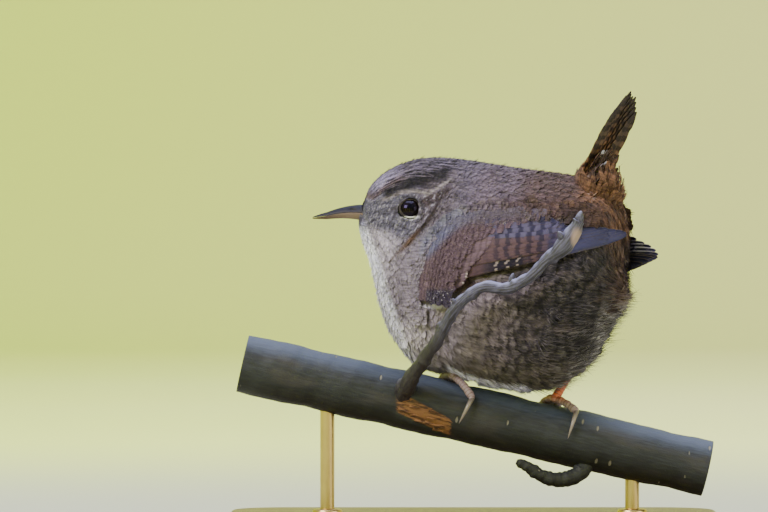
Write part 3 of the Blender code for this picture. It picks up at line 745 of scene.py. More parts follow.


# %% Lines of the markings, and of one painted highlight, each from front to back as points (x, z)
EYE = (-12.7, 71.2)
CROWN_SIDE = (
    (-20.6, 72.6), (-18.7, 74.2), (-16.4, 75.5), (-13.6, 76.5), (-10.6, 77.3), (-7.6, 78.0), (-4.4, 78.8),
)
BROW = (
    (-18.8, 72.9), (-16.6, 73.9), (-14.4, 74.7), (-12.2, 75.0), (-10.2, 74.6), (-8.4, 74.5), (-6.4, 75.3),
    (-3.4, 77.0),
)
EYE_STRIPE = ((-10.2, 72.2), (-7.3, 73.0), (-5.1, 73.9), (-3.2, 74.8))
EYE_CRESCENT = ((-14.6, 69.5), (-12.7, 68.75), (-10.9, 69.3))
EAR_EDGE = ((-17.2, 60.0), (-14.0, 63.2), (-10.9, 66.0), (-8.3, 68.4), (-6.6, 70.4), (-5.5, 72.1))
# Not a marking: the line of a painted bluish highlight on the side of the neck
NECK_SKY_HIGHLIGHT = ((-9.4, 62.6), (-7.4, 64.6), (-5.0, 66.6), (-1.4, 68.7), (2.6, 69.8))
BELLY_LINE = ((-4.0, 36.9), (0.5, 34.9), (5.0, 33.4), (9.0, 32.6), (14.0, 32.3))
BACK_LINE = ((-9.0, 79.0), (-4.0, 74.0), (1.0, 70.6), (6.0, 69.2), (20.0, 68.6), (34.0, 67.2))
BAR_GAP = 2.1


def off_column(x, z):
    """How far x is from the dark line up the middle of the tail's root, in mm."""
    return (x - (z - 72.9) * 0.275 - 24.9).absolute()


# %% Where on the bird a point of the plumage is
plumage = Finish(
    "plumage", specular_ior_level=0.2, sheen_weight=0.14, sheen_roughness=0.5, sheen_tint=(0.8, 0.8, 1.0)
)
px, py, pz, place = attribute(plumage, "place")
sx, _, sz, _ = attribute(plumage, "sample")
_, from_tip, chance, vane = attribute(plumage, "vane")
flow_along, flow_cos, flow_sin, flow = attribute(plumage, "flow")

on_head = step(sx, 5, -4)
wander = (grain(place, 0.34, 2.0) - 0.5) * (2.4 - on_head * 1.3)
x = sx + (px - sx) * on_head * 0.85 + wander
z = sz + (pz - sz) * on_head * 0.85 + wander

# %% [markdown]
# The under side goes from a grey breast and a white throat through brown flanks to a nearly black rear. Each
# tone is a coat of paint over the one before it. Its mask rises along x, on a slant, so that no edge stands
# upright. Pale frayed tips lie over the dark rear, as a wren's loose vent feathers do.

# %% Throat, breast, flank and rear
over = z - 45
throat = step(x - (66 - z) * 0.35, -20.9, -22.6) * step(z, 71, 67.5) * (0.6 + step(z, 53, 60) * 0.4)
frayed = step(from_tip, 2.8, 0.6) * step(chance, 0.25, 0.5) * (step(py.absolute(), 9, 5) * 0.8 + 0.2)
belly = step(z - line_height(x, BELLY_LINE), 2.2, 1.2) * step(x, -4.5, -2.5) * step(x, 14.5, 12)
colour = painted(
    mixed((0.44, 0.387, 0.42), (0.50, 0.44, 0.42), step(z, 52, 42)),
    ((0.218, 0.180, 0.202), step(x - (z - 58) * 0.3, -19.8, -14.2) * step(z, 43, 51)),
    ((0.92, 0.91, 0.92), throat),
    ((0.285, 0.238, 0.232), step(x - over * 0.35, -14, -2)),
    ((0.205, 0.162, 0.158), step(x - over * 0.25, 0, 9)),
    ((0.070, 0.056, 0.059), step(x - over * 0.2, 8, 16)),
    ((0.040, 0.034, 0.036), step(x + over * 0.1, 15, 23)),
    ((0.145, 0.122, 0.090), step(z, 41, 36) * step(x, -10, -2)),
    ((0.125, 0.064, 0.036), step(x, 28.6, 30.6) * step(z, 45, 49)),
    ((0.020, 0.017, 0.019), spot(x, z, (26.6, 49.0), 3.6, 5.0, 0.5) * 0.7),
    ((0.74, 0.70, 0.66), step(x - (z - 42) * 0.5, 18.5, 22) * frayed * step(z, 55, 48) * 0.9),
    ((0.94, 0.93, 0.92), belly),
    ((0.080, 0.040, 0.026), spot(x, z, (2.0, 55.4), 5.0, 1.7, 0.4) * 0.9),
    ((0.66, 0.62, 0.64), spot(x, z, (-5.6, 50.7), 4.0, 0.5, 0.4) * 0.8),
)

# %% [markdown]
# The back is brown with a bloom of lilac, and redder towards the tail. Round the tail's root it turns to
# rufous fluff with a dark column up its middle, and a few of the feathers there end in white.

# %% Back and rump
top = step(z - line_height(x, BACK_LINE), -0.8, 1.6)
back = painted(
    (0.132, 0.106, 0.134),
    ((0.148, 0.108, 0.124), step(x, -1, 6)),
    ((0.098, 0.059, 0.052), step(x, 8, 15)),
    ((0.105, 0.060, 0.048), step(x, 16, 23)),
)
fluff = step(z + (x - 24) * 0.6, 67.0, 72) * step(x + (z - 74) * 0.3, 22.0, 25.5)
fluff_bars = step((z * 2.6 - x * 0.9 + wander * 4.0 + chance * 3.0).sine(), 0.1, 0.6)
column = step(off_column(x, z), 1.9, 1.0) * step(z, 71, 73) * step(py.absolute(), 6.5, 4.5)
white_ones = column * step(chance, 0.62, 0.68) + fluff * step(chance, 0.88, 0.92) * 0.4
colour = painted(
    colour,
    (back, top),
    ((0.215, 0.106, 0.054), fluff),
    ((0.046, 0.028, 0.024), spot(x, z, (25.6, 69.4), 3.8, 3.0, 0.5) * 0.9),
    ((0.045, 0.024, 0.014), fluff * fluff_bars * 0.5),
    ((0.034, 0.023, 0.019), column * 0.75),
    ((0.36, 0.32, 0.31), step(from_tip, 1.6, 0.8) * white_ones * 0.8),
)

# %% [markdown]
# The head carries what names the bird: a brown crown with a nearly black side, a pale brow, a dark stripe
# behind the eye and a brown edge behind the ear. Over the crown lies a painted lilac sheen, lightest on the
# forehead, and on the side of the neck a painted bluish highlight. The brow and the edges are bands along
# their lines, and the eye has a dim ring with a pale crescent below.

# %% Head
over_crown_side = z - line_height(x, CROWN_SIDE)
crown = step(over_crown_side, -0.2, 0.9) * step(x, 3.5, -3)
# The crown's colour carries a painted lilac sheen, lightest towards the forehead.
lilac = mixed((0.112, 0.090, 0.110), (0.235, 0.200, 0.265), step(x, -14, -19.5))
brown = crown * step(over_crown_side, 2.8, 0.9) * step(x, -13, -16)
head = step(x, 3, -4) * step(z - (x + 24) * 0.35, 58.5, 62.5) * (1 - crown)
above_chin = step(z + (x + 16) * 0.3, 63.5, 67)
face = mixed((0.118, 0.108, 0.138), (0.118, 0.092, 0.102), step(x, -14, -8))
ear_edge = band(x, z, EAR_EDGE, 0.8, 0.6) * step(x, -16.0, -12.5)
ear_brown = mixed((0.120, 0.064, 0.034), (0.026, 0.016, 0.013), step(x, -12.6, -9.5))
crown_band = band(x, z + 0.15, CROWN_SIDE, 1.25, 0.8) * step(x, -19.8, -17.6)
eye_ring = spot(x, z, EYE, 3.0, 3.0, 0.12) * step(z, 69.6, 70.4)
colour = painted(
    colour,
    # the crown, with its painted lilac sheen
    (lilac, crown),
    ((0.095, 0.052, 0.034), brown * 0.75),
    (face, head * above_chin),
    # painted highlight: bluish, on the side of the neck
    ((0.150, 0.148, 0.195), band(x, z, NECK_SKY_HIGHLIGHT, 1.5, 1.2) * 0.75),
    ((0.105, 0.070, 0.055), band(x, z, EAR_EDGE, 0.3, 0.4) * 0.7),
    (ear_brown, ear_edge * 0.95),
    ((0.052, 0.033, 0.030), band(x, z, EYE_STRIPE, 1.0, 0.6) * 0.85),
    ((0.27, 0.23, 0.21), band(x, z, BROW, 0.45, 0.4) * 0.92),
    ((0.012, 0.008, 0.010), crown_band * 0.93),
    ((0.070, 0.060, 0.066), eye_ring * 0.7),
    ((0.68, 0.66, 0.66), band(x, z, EYE_CRESCENT, 0.3, 0.25)),
    ((0.06, 0.05, 0.05), spot(x, z, (-16.2, 70.9), 1.5, 0.9, 0.6) * 0.5),
)

# %% [markdown]
# On the flank and rear each feather has dark bars, which its loose barbs break into strokes and blotches.
# The strokes are a grain stretched along `flow`, so that they turn with the feathers. The cheek is flecked
# instead.

# %% Bars and mottling
rear = step(x, 1, 10) * (1 - belly)
wave = grain(place, 0.3, 1.0) - 0.5
phase = (px * 0.95 - pz * 0.31) * (2 * math.pi / BAR_GAP) + wave * 12.0 + chance * 2.0
bars = phase.sine()
dark = step(bars, -0.1, 0.8) * rear * (0.5 + top * -0.35)
colour = mixed(colour, (0.34, 0.31, 0.33), dark, "MULTIPLY")
strokes = grain(stretched(flow, (0.75, 85.0, 85.0)), 1.0, 2.0, 0.6) + bars * -0.07 + wave * 0.2
blotch = grain(stretched(flow, (0.28, 9.0, 9.0)), 1.0, 2.0)
speck = grain(stretched(flow, (1.4, 12.0, 12.0)), 1.0, 2.0, 0.6)
loose = rear * (1 - top) * (1 - fluff)
cheek = head * above_chin * step(x, -3, -6) * step(z - line_height(x, BROW), 0.2, -0.9) * (1 - ear_edge)
colour = painted(
    colour,
    ((0.20, 0.165, 0.160), loose * step(strokes, 0.52, 0.66) * 0.38),
    ((0.016, 0.014, 0.016), loose * step(strokes, 0.47, 0.34) * 0.6),
    ((0.020, 0.017, 0.018), loose * step(blotch, 0.55, 0.68) * 0.7),
    ((0.150, 0.115, 0.105), loose * step(blotch, 0.46, 0.34) * 0.45),
    ((0.38, 0.35, 0.37), cheek * step(speck, 0.55, 0.63) * 0.6),
    ((0.045, 0.035, 0.034), cheek * step(speck, 0.46, 0.38) * 0.5),
)

# %% [markdown]
# Last comes the shade of single strands: streaks along the flow, a tone for each feather, and roots darker
# than tips, because light doesn't reach them. A fine grain along the vane gives bump and gloss.

# %% Strands, and the finished plumage
streak = grain(joined(flow_along * 0.30, flow_cos * 24, flow_sin * 24), 1.0, 2.5, 0.6)
fine = grain(stretched(vane, (3.5, 0.45, 40.0)), 2.0, 2.0)
colour = mixed(colour, (0.130, 0.105, 0.110), crown_band * step(streak, 0.60, 0.70) * 0.75)
strand = step(streak, 0.38, 0.62) - 0.5
depth = 0.55 + crown * 0.95 + band(x, z, CROWN_SIDE, 3.0, 1.0) * 0.3
contrast = 1 + strand * depth + (chance - 0.5) * (0.6 - on_head * 0.3) + (fine - 0.5) * 0.6
tip_light = step(from_tip, 3.5, 0.4) * 0.27 + 0.60
plumage.give(
    base_color=shaded(colour, contrast * tip_light, 0.97, 1.20),
    normal=bump(fine, 0.00004),
    roughness=0.7 + fine * 0.25,
)
print(plumage)

# %% Skin piece
skin = finished(skin_bm, "skin", plumage.material, ("head", "neck", "torso"))

# %% [markdown]
# ## Coat
#
# A contour feather is a soft vane on a shaft that frays at the edge. Here it is a few faces with narrow
# strips over them that run past the edge, and a handful of such tufts is repeated over the body. Each root
# is drawn by chance in small fields of the skin, with more where the feathers are small. A tuft bends with
# the body, root low and tip high, like a roof tile. A particle system would sow them faster, but an export
# drops its hair. On the unwrap a tuft is a small patch at its root's place, so that baked colours stay with
# it.

# %% Tuft and plume


def add_barb(points, faces, start, end, bend, segments, wide, tilt, lift, flare, tone):
    """Adds one barb: a strip of triangles from start to end (across, along) that narrows to a point."""
    first = len(points)
    side = 1 if end[0] > start[0] else -1
    for k in range(segments + 1):
        t = k / segments
        middle = start + (end - start) * np.array([t**bend, t**1.15])
        up = lift + flare * t * t
        half = wide * (1 - 0.75 * t)
        if k == segments:
            points.append((middle[0], middle[1], up, tone))
            continue
        points.append((middle[0] - half, middle[1] + side * half * 0.6, up - tilt * half, tone))
        points.append((middle[0] + half, middle[1] - side * half * 0.6, up + tilt * half, tone))
    for k in range(segments - 1):
        a = first + 2 * k
        faces += [(a, a + 1, a + 3), (a, a + 3, a + 2)]
    a = first + 2 * (segments - 1)
    faces.append((a, a + 1, a + 2))


def tuft(barbs, segments, seed, thin):
    """One feather with loose barbs: points (across, along, up, tone) in feather lengths, and triangles."""
    draw = np.random.default_rng(seed)
    rows = ((0.0, 0.08), (0.4, 0.2), (0.74, 0.21), (0.93, 0.11))
    points = [(side * half, v, 0.03 * (1 - abs(side)), 0.4) for v, half in rows for side in (-1, 0, 1)]
    faces = []
    for row in range(3):
        for column in (0, 1):
            a = 3 * row + column
            faces += [(a, a + 1, a + 4), (a, a + 4, a + 3)]
    for i in range(barbs):
        share = (i + 0.5) / barbs
        side = -1 if i % 2 else 1
        start = np.array([side * 0.02, 0.12 + 0.68 * share])
        reach = 0.27 * (1 - share**2.4) + 0.02
        end = np.array([side * (reach + draw.normal(0, 0.02)), start[1] + 0.26 + draw.uniform(-0.02, 0.08)])
        bend, lift, flare = draw.uniform(0.7, 0.95), draw.uniform(0.012, 0.042), draw.uniform(0.0, 0.05)
        tilt, tone, wide = draw.uniform(-0.8, 0.8), draw.random(), thin * draw.uniform(0.7, 1.25)
        add_barb(points, faces, start, end, bend, segments, wide, tilt, lift, flare, tone)
    return np.array(points), np.array(faces)


def plume(hairs, seed, thin):
    """A wisp of loose hairs without a vane, for the coat's fringe."""
    draw = np.random.default_rng(seed)
    points, faces = [], []
    for i in range(hairs):
        start = np.array([draw.normal(0, 0.04), draw.uniform(0.0, 0.3)])
        end = np.array([draw.normal(0, 0.17), draw.uniform(0.7, 1.1)])
        bend, flare, tone = draw.uniform(0.8, 1.6), draw.uniform(-0.08, 0.12), draw.random()
        add_barb(points, faces, start, end, bend, 3, thin * draw.uniform(0.7, 1.4), 0.4, 0.0, flare, tone)
    return np.array(points), np.array(faces)


# %% Where feathers don't grow, and how they lie
EYE_CLEAR = 2.3


def near_eye(flat, reach):
    """Whether points lie within a reach of an eye, seen from the side."""
    away = np.hypot(flat[..., 0] - EYE[0], flat[..., 2] - EYE[1])
    return (away < reach) & (np.abs(flat[..., 1]) > 4)


def past_eye(flat):
    """Points that lie over the eye, moved out to its rim."""
    from_eye = flat[..., ::2] - EYE
    away = np.hypot(from_eye[..., 0], from_eye[..., 1])
    grow = np.where(near_eye(flat, EYE_CLEAR), EYE_CLEAR / np.maximum(away, 0.05), 1.0)
    out = flat.copy()
    out[..., ::2] = EYE + from_eye * grow[..., None]
    return out


def down_turn(s, angle):
    """How far, in radians, the feathers' lie turns down from the way to the vent."""
    flank = np.interp(s, (0, 4.5, 6.5, 8.5, 10.5, 12.5, 14), (0, 4, 10, 22, 18, 4, -6))
    side = -np.sin(angle)
    crown = np.interp(s, (0.6, 1.6, 3.6, 5.5), (0, 26, 18, 0)) * (1 + np.cos(angle)) / 2
    return np.radians(flank - crown) * side


def stand_out(s, angle):
    """How far a feather's tip may stand over the plumage line, in mm."""
    top = np.interp(s, (0, 2, 4, 6, 9, 12, 14), (0.04, 0.12, 0.16, 0.15, 0.16, 0.35, 0.7))
    under = np.interp(s, (0, 2, 4, 6, 9, 12, 14), (0.04, 0.15, 0.22, 0.3, 0.55, 1.0, 1.3))
    return top + (under - top) * under_share(angle)


# %% Sowing and laying the tufts
FIELD_S = 0.1
FIELD_TURN = 6.0
TUFT_AREA = 0.36  # of the square of its length
VANE_HALF = 0.22  # of its length
SHOWN_AT = 0.72  # where along a tuft its showing part lies
PATCH = 0.003  # a tuft's size on the unwrap


def sow(span, cover, draw):
    """Roots (s, angle) over a span of s, so many that feathers lie cover deep."""
    fields_s = np.arange(span[0], span[1] - 1e-6, FIELD_S) + FIELD_S / 2
    fields_a = np.radians(np.arange(0, 360, FIELD_TURN)) + math.radians(FIELD_TURN / 2)
    s, angle = (g.ravel() for g in np.meshgrid(fields_s, fields_a, indexing="ij"))
    along, around, _ = body_ways(s, angle)
    area = np.linalg.norm(np.cross(along, around), axis=-1) * FIELD_S * math.radians(FIELD_TURN)
    long = feather_length(s, angle)
    many = cover * area / (TUFT_AREA * long * long)
    count = np.floor(many + draw.random(len(many))).astype(int)
    s = np.repeat(s, count) + draw.uniform(-FIELD_S / 2, FIELD_S / 2, count.sum())
    aside = np.radians(draw.uniform(-FIELD_TURN / 2, FIELD_TURN / 2, count.sum()))
    return s, np.repeat(angle, count) + aside


def laid(shape, faces, flat, flow, long, chance, unwrap):
    """All tufts of one shape: points, samples, vanes, flows, UVs and triangles."""
    shown = np.argmin(np.abs(shape[:, 1] - SHOWN_AT) + np.abs(shape[:, 0]))
    sample = np.repeat(flat[:, shown : shown + 1], len(shape), 1)
    across = np.broadcast_to(shape[:, 0] / VANE_HALF, flat.shape[:2])
    from_tip = (1.05 - shape[:, 1]) * long[:, None]
    tone = 0.5 * chance[:, None] + 0.5 * shape[:, 3]
    uv = unwrap[:, None] + PATCH * np.stack([shape[:, 0] * 2, shape[:, 1] - 0.5], -1)
    return flat, sample, np.stack([across, from_tip, tone], -1), flow, np.clip(uv, 0.004, 0.996), faces


def lay(roots, shapes, draw, long, wide, turn, sink, rise):
    """Lays tufts on the body, one at each root, sunk at the root and risen at the tip by so many mm."""
    s, angle = roots
    along, around, out = body_ways(s, angle)
    rearward = unit(along)
    run = np.linalg.norm(along, axis=-1)
    circle = np.sum(around * np.cross(rearward, out), -1)
    skew = np.sum(around * rearward, -1)
    pick = draw.integers(len(shapes), size=len(s))
    chance = draw.random(len(s))
    sets = []
    for kind, (shape, faces) in enumerate(shapes):
        mine = np.nonzero(pick == kind)[0]
        if not len(mine):
            continue
        given = (s, angle, long, wide, turn, sink, rise, run, circle, skew)
        at_s, at_angle, size, share, lean, low, high, per_s, per_angle, slant = (g[mine, None] for g in given)
        u, v = shape[:, 0] * (share * size), shape[:, 1] * size
        lean = lean + shape[:, 1] * draw.normal(0, 0.12, (len(mine), 1))
        da = (u * np.cos(lean) + v * np.sin(lean)) / per_angle
        ds = (v * np.cos(lean) - u * np.sin(lean) - da * slant) / per_s
        t = np.clip(shape[:, 1], 0, 1.2)
        up = shape[:, 2] * size - low * np.clip(1 - t, 0, 1) ** 1.3 + high * t**2
        at_s, at_angle = at_s + ds, at_angle + da
        flat = round_the_bill(past_eye(over_body(at_s, at_angle, up)))
        unwrap = np.stack([(angle[mine] % (2 * math.pi)) / (2 * math.pi), s[mine] / LAST], -1)
        sets.append(laid(shape, faces, flat, flow_of(at_s, at_angle), long[mine], chance[mine], unwrap))
    return sets


# %% From tufts to a piece


def tuft_piece(sets, name, finish=plumage):
    """One piece of all laid tufts, turned as the bird stands and pressed clear of the branch."""
    stores = [[], [], [], [], []]
    corners = []
    first = 0
    for *values, faces in sets:
        count, size = values[0].shape[:2]
        starts = first + size * np.arange(count)
        corners.append((faces[None] + starts[:, None, None]).reshape(-1, 3))
        first += count * size
        for store, value in zip(stores, values):
            store.append(value.reshape(count * size, -1))
    places, samples, vanes, flows, uvs = (np.concatenate(store) for store in stores)
    corners = np.concatenate(corners)
    points = clear_of_branch(turned(places))
    mesh = mesh_from(points, corners, place=places, sample=samples, vane=vanes, flow=flows)
    uv_layer = mesh.uv_layers.new(name="OFBake")
    uv_layer.data.foreach_set("uv", uvs[corners.ravel()].astype(np.float32).ravel())
    return piece(mesh, name, finish.material)


# %% The coat, band by band
FACE_TUFTS = [tuft(7, 2, seed, 0.040) for seed in range(6)]
HEAD_TUFTS = [tuft(10, 2, seed, 0.028) for seed in range(10, 16)]
BODY_TUFTS = [tuft(14, 2, seed, 0.020) for seed in range(20, 28)]
COAT = (
    ("coat_face", (0.35, 3.4), FACE_TUFTS, 10.0),
    ("coat_head", (3.4, 5.8), HEAD_TUFTS, 11.8),
    ("coat_nape", (5.8, 7.4), HEAD_TUFTS, 13.0),
    ("coat_chest", (7.4, 9.4), BODY_TUFTS, 15.0),
    ("coat_middle", (9.4, 11.4), BODY_TUFTS, 16.0),
    ("coat_rear", (11.4, 13.8), BODY_TUFTS, 16.0),
)
for number, (name, span, shapes, cover) in enumerate(COAT):
    draw = np.random.default_rng(100 + number)
    s, angle = sow(span, cover, draw)
    flat = body_line(s, angle)
    under_wing = ((flat[:, 0] - 9.5) / 13.5) ** 2 + ((flat[:, 2] - 62.6) / 4.6) ** 2 < 1
    keep = ~(near_eye(flat, 2.4) | (under_wing & (np.abs(flat[:, 1]) > 5)))
    s, angle = s[keep], angle[keep]
    count = len(s)
    long = feather_length(s, angle) * draw.uniform(0.8, 1.2, count)
    wide = np.interp(s, (0.5, 5, 9, 14), (1.15, 1.05, 0.95, 0.9)) * draw.uniform(0.85, 1.15, count)
    spread = np.radians(np.interp(s, (0, 5, 9, 13), (7, 9, 13, 20)))
    turn = down_turn(s, angle) + draw.normal(0, 1, count) * spread
    sink = coat_depth(s, angle) * draw.uniform(0.6, 0.95, count)
    rise = stand_out(s, angle) * (draw.uniform(0.0, 1.0, count) ** 2 + 0.9 * (draw.random(count) > 0.86))
    tuft_piece(lay((s, angle), shapes, draw, long, wide, turn, sink, rise), name)
    print(count, "feathers")

# %% [markdown]
# Here and there loose barbs stand out past the rest and soften the outline, most of all at the rear. They
# are plumes without a vane, sown thinly over the coat, but not round the eye or on the wing.

# %% The loose fringe of the coat
PLUMES = [plume(7, seed, 0.023) for seed in range(80, 86)]
WING_WINDOW = ((-11, 26), (53, 71))  # in x and z
FRINGE = (
    ("coat_fringe_head", (2.0, 7.5), 1.2, 0.85, (0.2, 0.9)),
    ("coat_fringe_chest", (7.5, 10.5), 1.5, 0.8, (0.2, 1.2)),
    ("coat_fringe_rear", (10.5, 13.9), 9.0, 0.95, (0.7, 3.4)),
)
for number, (name, span, cover, reach, lift) in enumerate(FRINGE):
    draw = np.random.default_rng(140 + number)
    s, angle = sow(span, cover, draw)
    flat = body_line(s, angle)
    on_wing = np.abs(flat[:, 1]) > 5
    for column, (low, high) in zip((0, 2), WING_WINDOW):
        on_wing &= (flat[:, column] > low) & (flat[:, column] < high)
    keep = ~(near_eye(flat, 3.2) | on_wing)
    s, angle = s[keep], angle[keep]
    count = len(s)
    long = reach * feather_length(s, angle) * draw.uniform(0.7, 1.15, count)
    turn = down_turn(s, angle) + draw.normal(0, 1, count) * math.radians(14)
    high = np.interp(under_share(angle), (0.1, 0.5), (0.3, 1.0)) if span[0] > 7 else 1.0
    rise = draw.uniform(*lift, count) * high
    wide, sink = np.full(count, 1.0), np.full(count, 0.3)
    tuft_piece(lay((s, angle), PLUMES, draw, long, wide, turn, sink, rise), name)
    print(count, "plumes")

# %% [markdown]
# ## Wings
#
# A folded wing is a stack of long feathers that shows the lower edge of each, with rows of coverts over
# their roots. They all lie on one curved sheet: the flank, which towards the wing's tip runs clear of the
# body. So each feather is drawn by x and z, and the sheet gives its y. The body's half width is measured
# once by rays through the plumage line and read back from that grid.

# %% The sheet that a wing lies on
SHELL_RINGS = 130
SHELL_SIDES = 97
GRID_STEP = 0.5
GRID_X = np.arange(-18.0, 42.0, GRID_STEP)
GRID_Z = np.arange(42.0, 80.0, GRID_STEP)
WING_TIP_SIDE = 8.6
WING_DROOP = math.radians(5)

shell_s = np.linspace(0.02, LAST - 0.02, SHELL_RINGS)
shell_angle = np.linspace(0, 2 * np.pi, SHELL_SIDES)
shell = body_line(*np.meshgrid(shell_s, shell_angle, indexing="ij")).reshape(-1, 3)
tree = BVHTree.FromPolygons(shell.tolist(), grid_faces(SHELL_RINGS, SHELL_SIDES).tolist())
half_grid = np.zeros((len(GRID_X), len(GRID_Z)))
for i, x in enumerate(GRID_X):
    for k, z in enumerate(GRID_Z):
        hit = tree.ray_cast(Vector((x, 60, z)), Vector((0, -1, 0)))[0]
        half_grid[i, k] = hit.y if hit else 0.0
print("half width of the body: up to", round(half_grid.max(), 1), "mm")


def half_width(x, z):
    """The plumage line's half width at x and z of the straight bird."""
    u = np.clip((x - GRID_X[0]) / GRID_STEP, 0, len(GRID_X) - 1.001)
    v = np.clip((z - GRID_Z[0]) / GRID_STEP, 0, len(GRID_Z) - 1.001)
    i, k = u.astype(int), v.astype(int)
    u, v = u - i, v - k
    low = half_grid[i, k] * (1 - u) + half_grid[i + 1, k] * u
    high = half_grid[i, k + 1] * (1 - u) + half_grid[i + 1, k + 1] * u
    return low * (1 - v) + high * v


def wing_sheet(side):
    """The sheet's points at x, z and a height over it, on the side -1 (left) or 1 (right)."""

    def place(x, z, height):
        free = WING_TIP_SIDE + 0.16 * np.maximum(34 - x, 0) - 0.004 * np.maximum(20 - x, 0) ** 2
        near = half_width(x, z)
        over = 3.0 * np.logaddexp(near / 3.0, free / 3.0) - 1.05
        return np.stack([x, side * (np.maximum(near, over) + height), z], -1)

    return place


# %% [markdown]
# A long feather has a shaft nearer its outer, lower edge, a slightly domed vane, and an edge that frays into
# barbs. It is a fine grid of points, closer at the shaft, which stands out as a ridge, and closer at the
# round tip. Solidify then gives the vane its thickness, which is easier than making both faces by hand.

# %% Long feathers
COLUMNS = np.array((-1.0, -0.86, -0.55, -0.3, -0.23, -0.16, 0.2, 0.6, 0.88, 1.0))
RIDGE = np.array((0.0, 0.0, 0.0, 0.0, 1.0, 0.0, 0.0, 0.0, 0.0, 0.0))
FLIGHT = ((0, 0.2, 0.4, 0.6, 0.8, 0.9, 0.96, 0.99, 1.0), (0.4, 0.75, 0.94, 1.0, 0.93, 0.75, 0.5, 0.27, 0.08))
SHORT = ((0, 0.3, 0.6, 0.8, 0.92, 0.98, 1.0), (0.45, 0.85, 1.0, 0.93, 0.66, 0.34, 0.1))
VANE_THICKNESS = 0.09
WRIST = (-8.0, 58.0)
SHAFT = 0.23  # where across a vane its shaft is, as a share of half its width


def long_feathers(place, feathers, outline, rows, draw, dome=0.16, ragged=0.05, bow=0.25, dip=1.4):
    """A mesh of feathers: each has a root, a tip, a width, heights at root and tip, a kind and a rank."""
    points, samples, vanes, corners = [], [], [], []
    t = 1 - (1 - np.linspace(0, 1, rows)) ** 1.35
    u = COLUMNS[None, :]
    size = rows * len(COLUMNS)
    faces = grid_faces(rows, len(COLUMNS))
    for number, (root, tip, width, low, high, kind, rank) in enumerate(feathers):
        root, tip = np.array(root), np.array(tip)
        run = tip - root
        length = float(np.hypot(*run))
        across = np.array([-run[1], run[0]]) / length
        half = width / 2 * np.interp(t, *outline)[:, None]
        fray = 1 - ragged * draw.random((rows, 2)) ** 2 * np.linspace(0.4, 1.6, rows)[:, None]
        half = half * np.where(u < 0, fray[:, :1], fray[:, 1:])
        aside = u * half + bow * (4 * t * (1 - t))[:, None] + draw.normal(0, 0.05)
        flat = root + run * t[:, None, None] + across * aside[..., None]
        height = low + (high - low) * t[:, None] + dome * (1 - u * u) - 0.1 * (np.abs(u) > 0.95)
        height = height - dip * np.clip(1 - t / 0.25, 0, 1)[:, None] ** 2
        height = height + 0.05 * RIDGE * (1 - 0.7 * t[:, None]) + draw.normal(0, 0.008, (rows, 1))
        spots = place(flat[..., 0], flat[..., 1], height)
        corners.append(faces + number * size)
        points.append(spots.reshape(-1, 3))
        chance = draw.random()
        samples.append(np.tile((kind, rank, length), (size, 1)))
        from_tip = np.broadcast_to(((1 - t) * length)[:, None], (rows, len(COLUMNS)))
        vane = np.stack([np.broadcast_to(u, from_tip.shape), from_tip, np.full_like(from_tip, chance)], -1)
        vanes.append(vane.reshape(-1, 3))
    places = np.concatenate(points)
    samples, vanes = np.concatenate(samples), np.concatenate(vanes)
    return mesh_from(turned(places), np.concatenate(corners), place=places, sample=samples, vane=vanes)


def feather_piece(mesh, name, finish, replaces=()):
    """A piece of long feathers, with the thickness of a vane."""
    made = piece(mesh, name, finish.material, replaces)
    solid = made.modifiers.new("vane thickness", "SOLIDIFY")
    solid.thickness = VANE_THICKNESS * MM
    solid.offset = 0


def tier(count, root_a, tip_a, root_b, tip_b, reach, width, low, high, kind, draw, droop=0.0):
    """The feathers of a row, from its lowest (a) to its highest (b). Those in the middle reach further."""
    feathers = []
    for i in range(count):
        t = i / (count - 1)
        root = [a + (b - a) * t for a, b in zip(root_a, root_b)]
        tip = [a + (b - a) * t for a, b in zip(tip_a, tip_b)]
        tip = [tip[0] + reach * math.sin(math.pi * t), tip[1] + draw.uniform(-0.12, 0.12)]
        if droop:
            root, tip = drooped(root, droop), drooped(tip, droop)
        lift = low + (high - low) * t
        feathers.append((root, tip, width * draw.uniform(0.97, 1.03), lift, lift - 0.12, kind, t))
    return feathers


def drooped(point, angle):
    """A point of the right wing, turned down about its wrist."""
    x, z = point[0] - WRIST[0], point[1] - WRIST[1]
    cos, sin = math.cos(angle), math.sin(angle)
    return (x * cos + z * sin + WRIST[0], z * cos - x * sin + WRIST[1])


# %% [markdown]
# The flight feathers are rufous with dark bars a little over 2 mm apart, which stand in columns because the
# feathers are nearly level with each other. The outer webs of the long primaries turn black and cream, the
# uppermost feathers grey-blue, and all grow slate blue at the tip. So one finish serves them all, and reads
# the kind of feather (0 primary, 1 secondary, 2 tertial) and its rank in the row.

# %% Flight finish
flight = Finish("flight feathers", specular_ior_level=0.15)
px, py, _, place = attribute(flight, "place")
kind, rank, _, _ = attribute(flight, "sample")
across, from_tip, chance, _ = attribute(flight, "vane")
wobble = grain(place, 0.5, 2.0) - 0.5
phase = px * (2 * math.pi / BAR_GAP) + wobble * 4.5 + across * 0.5 + chance * 2.4
wave = phase.sine()
bars = step(wave, -0.6, 0.8)
cream = mixed((0.014, 0.012, 0.018), (0.26, 0.21, 0.17), step(wave, 0.35, 1.0))
primary = step(kind, 0.6, 0.4)
black_web = primary * step(across, -0.05, -0.35) * step(px, 17, 15) * step(px, 6, 10)
spotted_web = primary * step(across, -0.3, -0.6) * step(chance, 0.30, 0.36)
grey = mixed((0.080, 0.076, 0.128), (0.024, 0.023, 0.048), bars)
white_edge = step(across, 0.7, 0.9) * step(px, 26, 29) * step(py, -1, 1) * step(rank, 0.35, 0.6)
slate = painted(
    (0.012, 0.012, 0.026),
    ((0.046, 0.046, 0.090), step(across + wobble, 0.9, -0.6)),
    ((0.50, 0.48, 0.50), white_edge * 0.8),
)
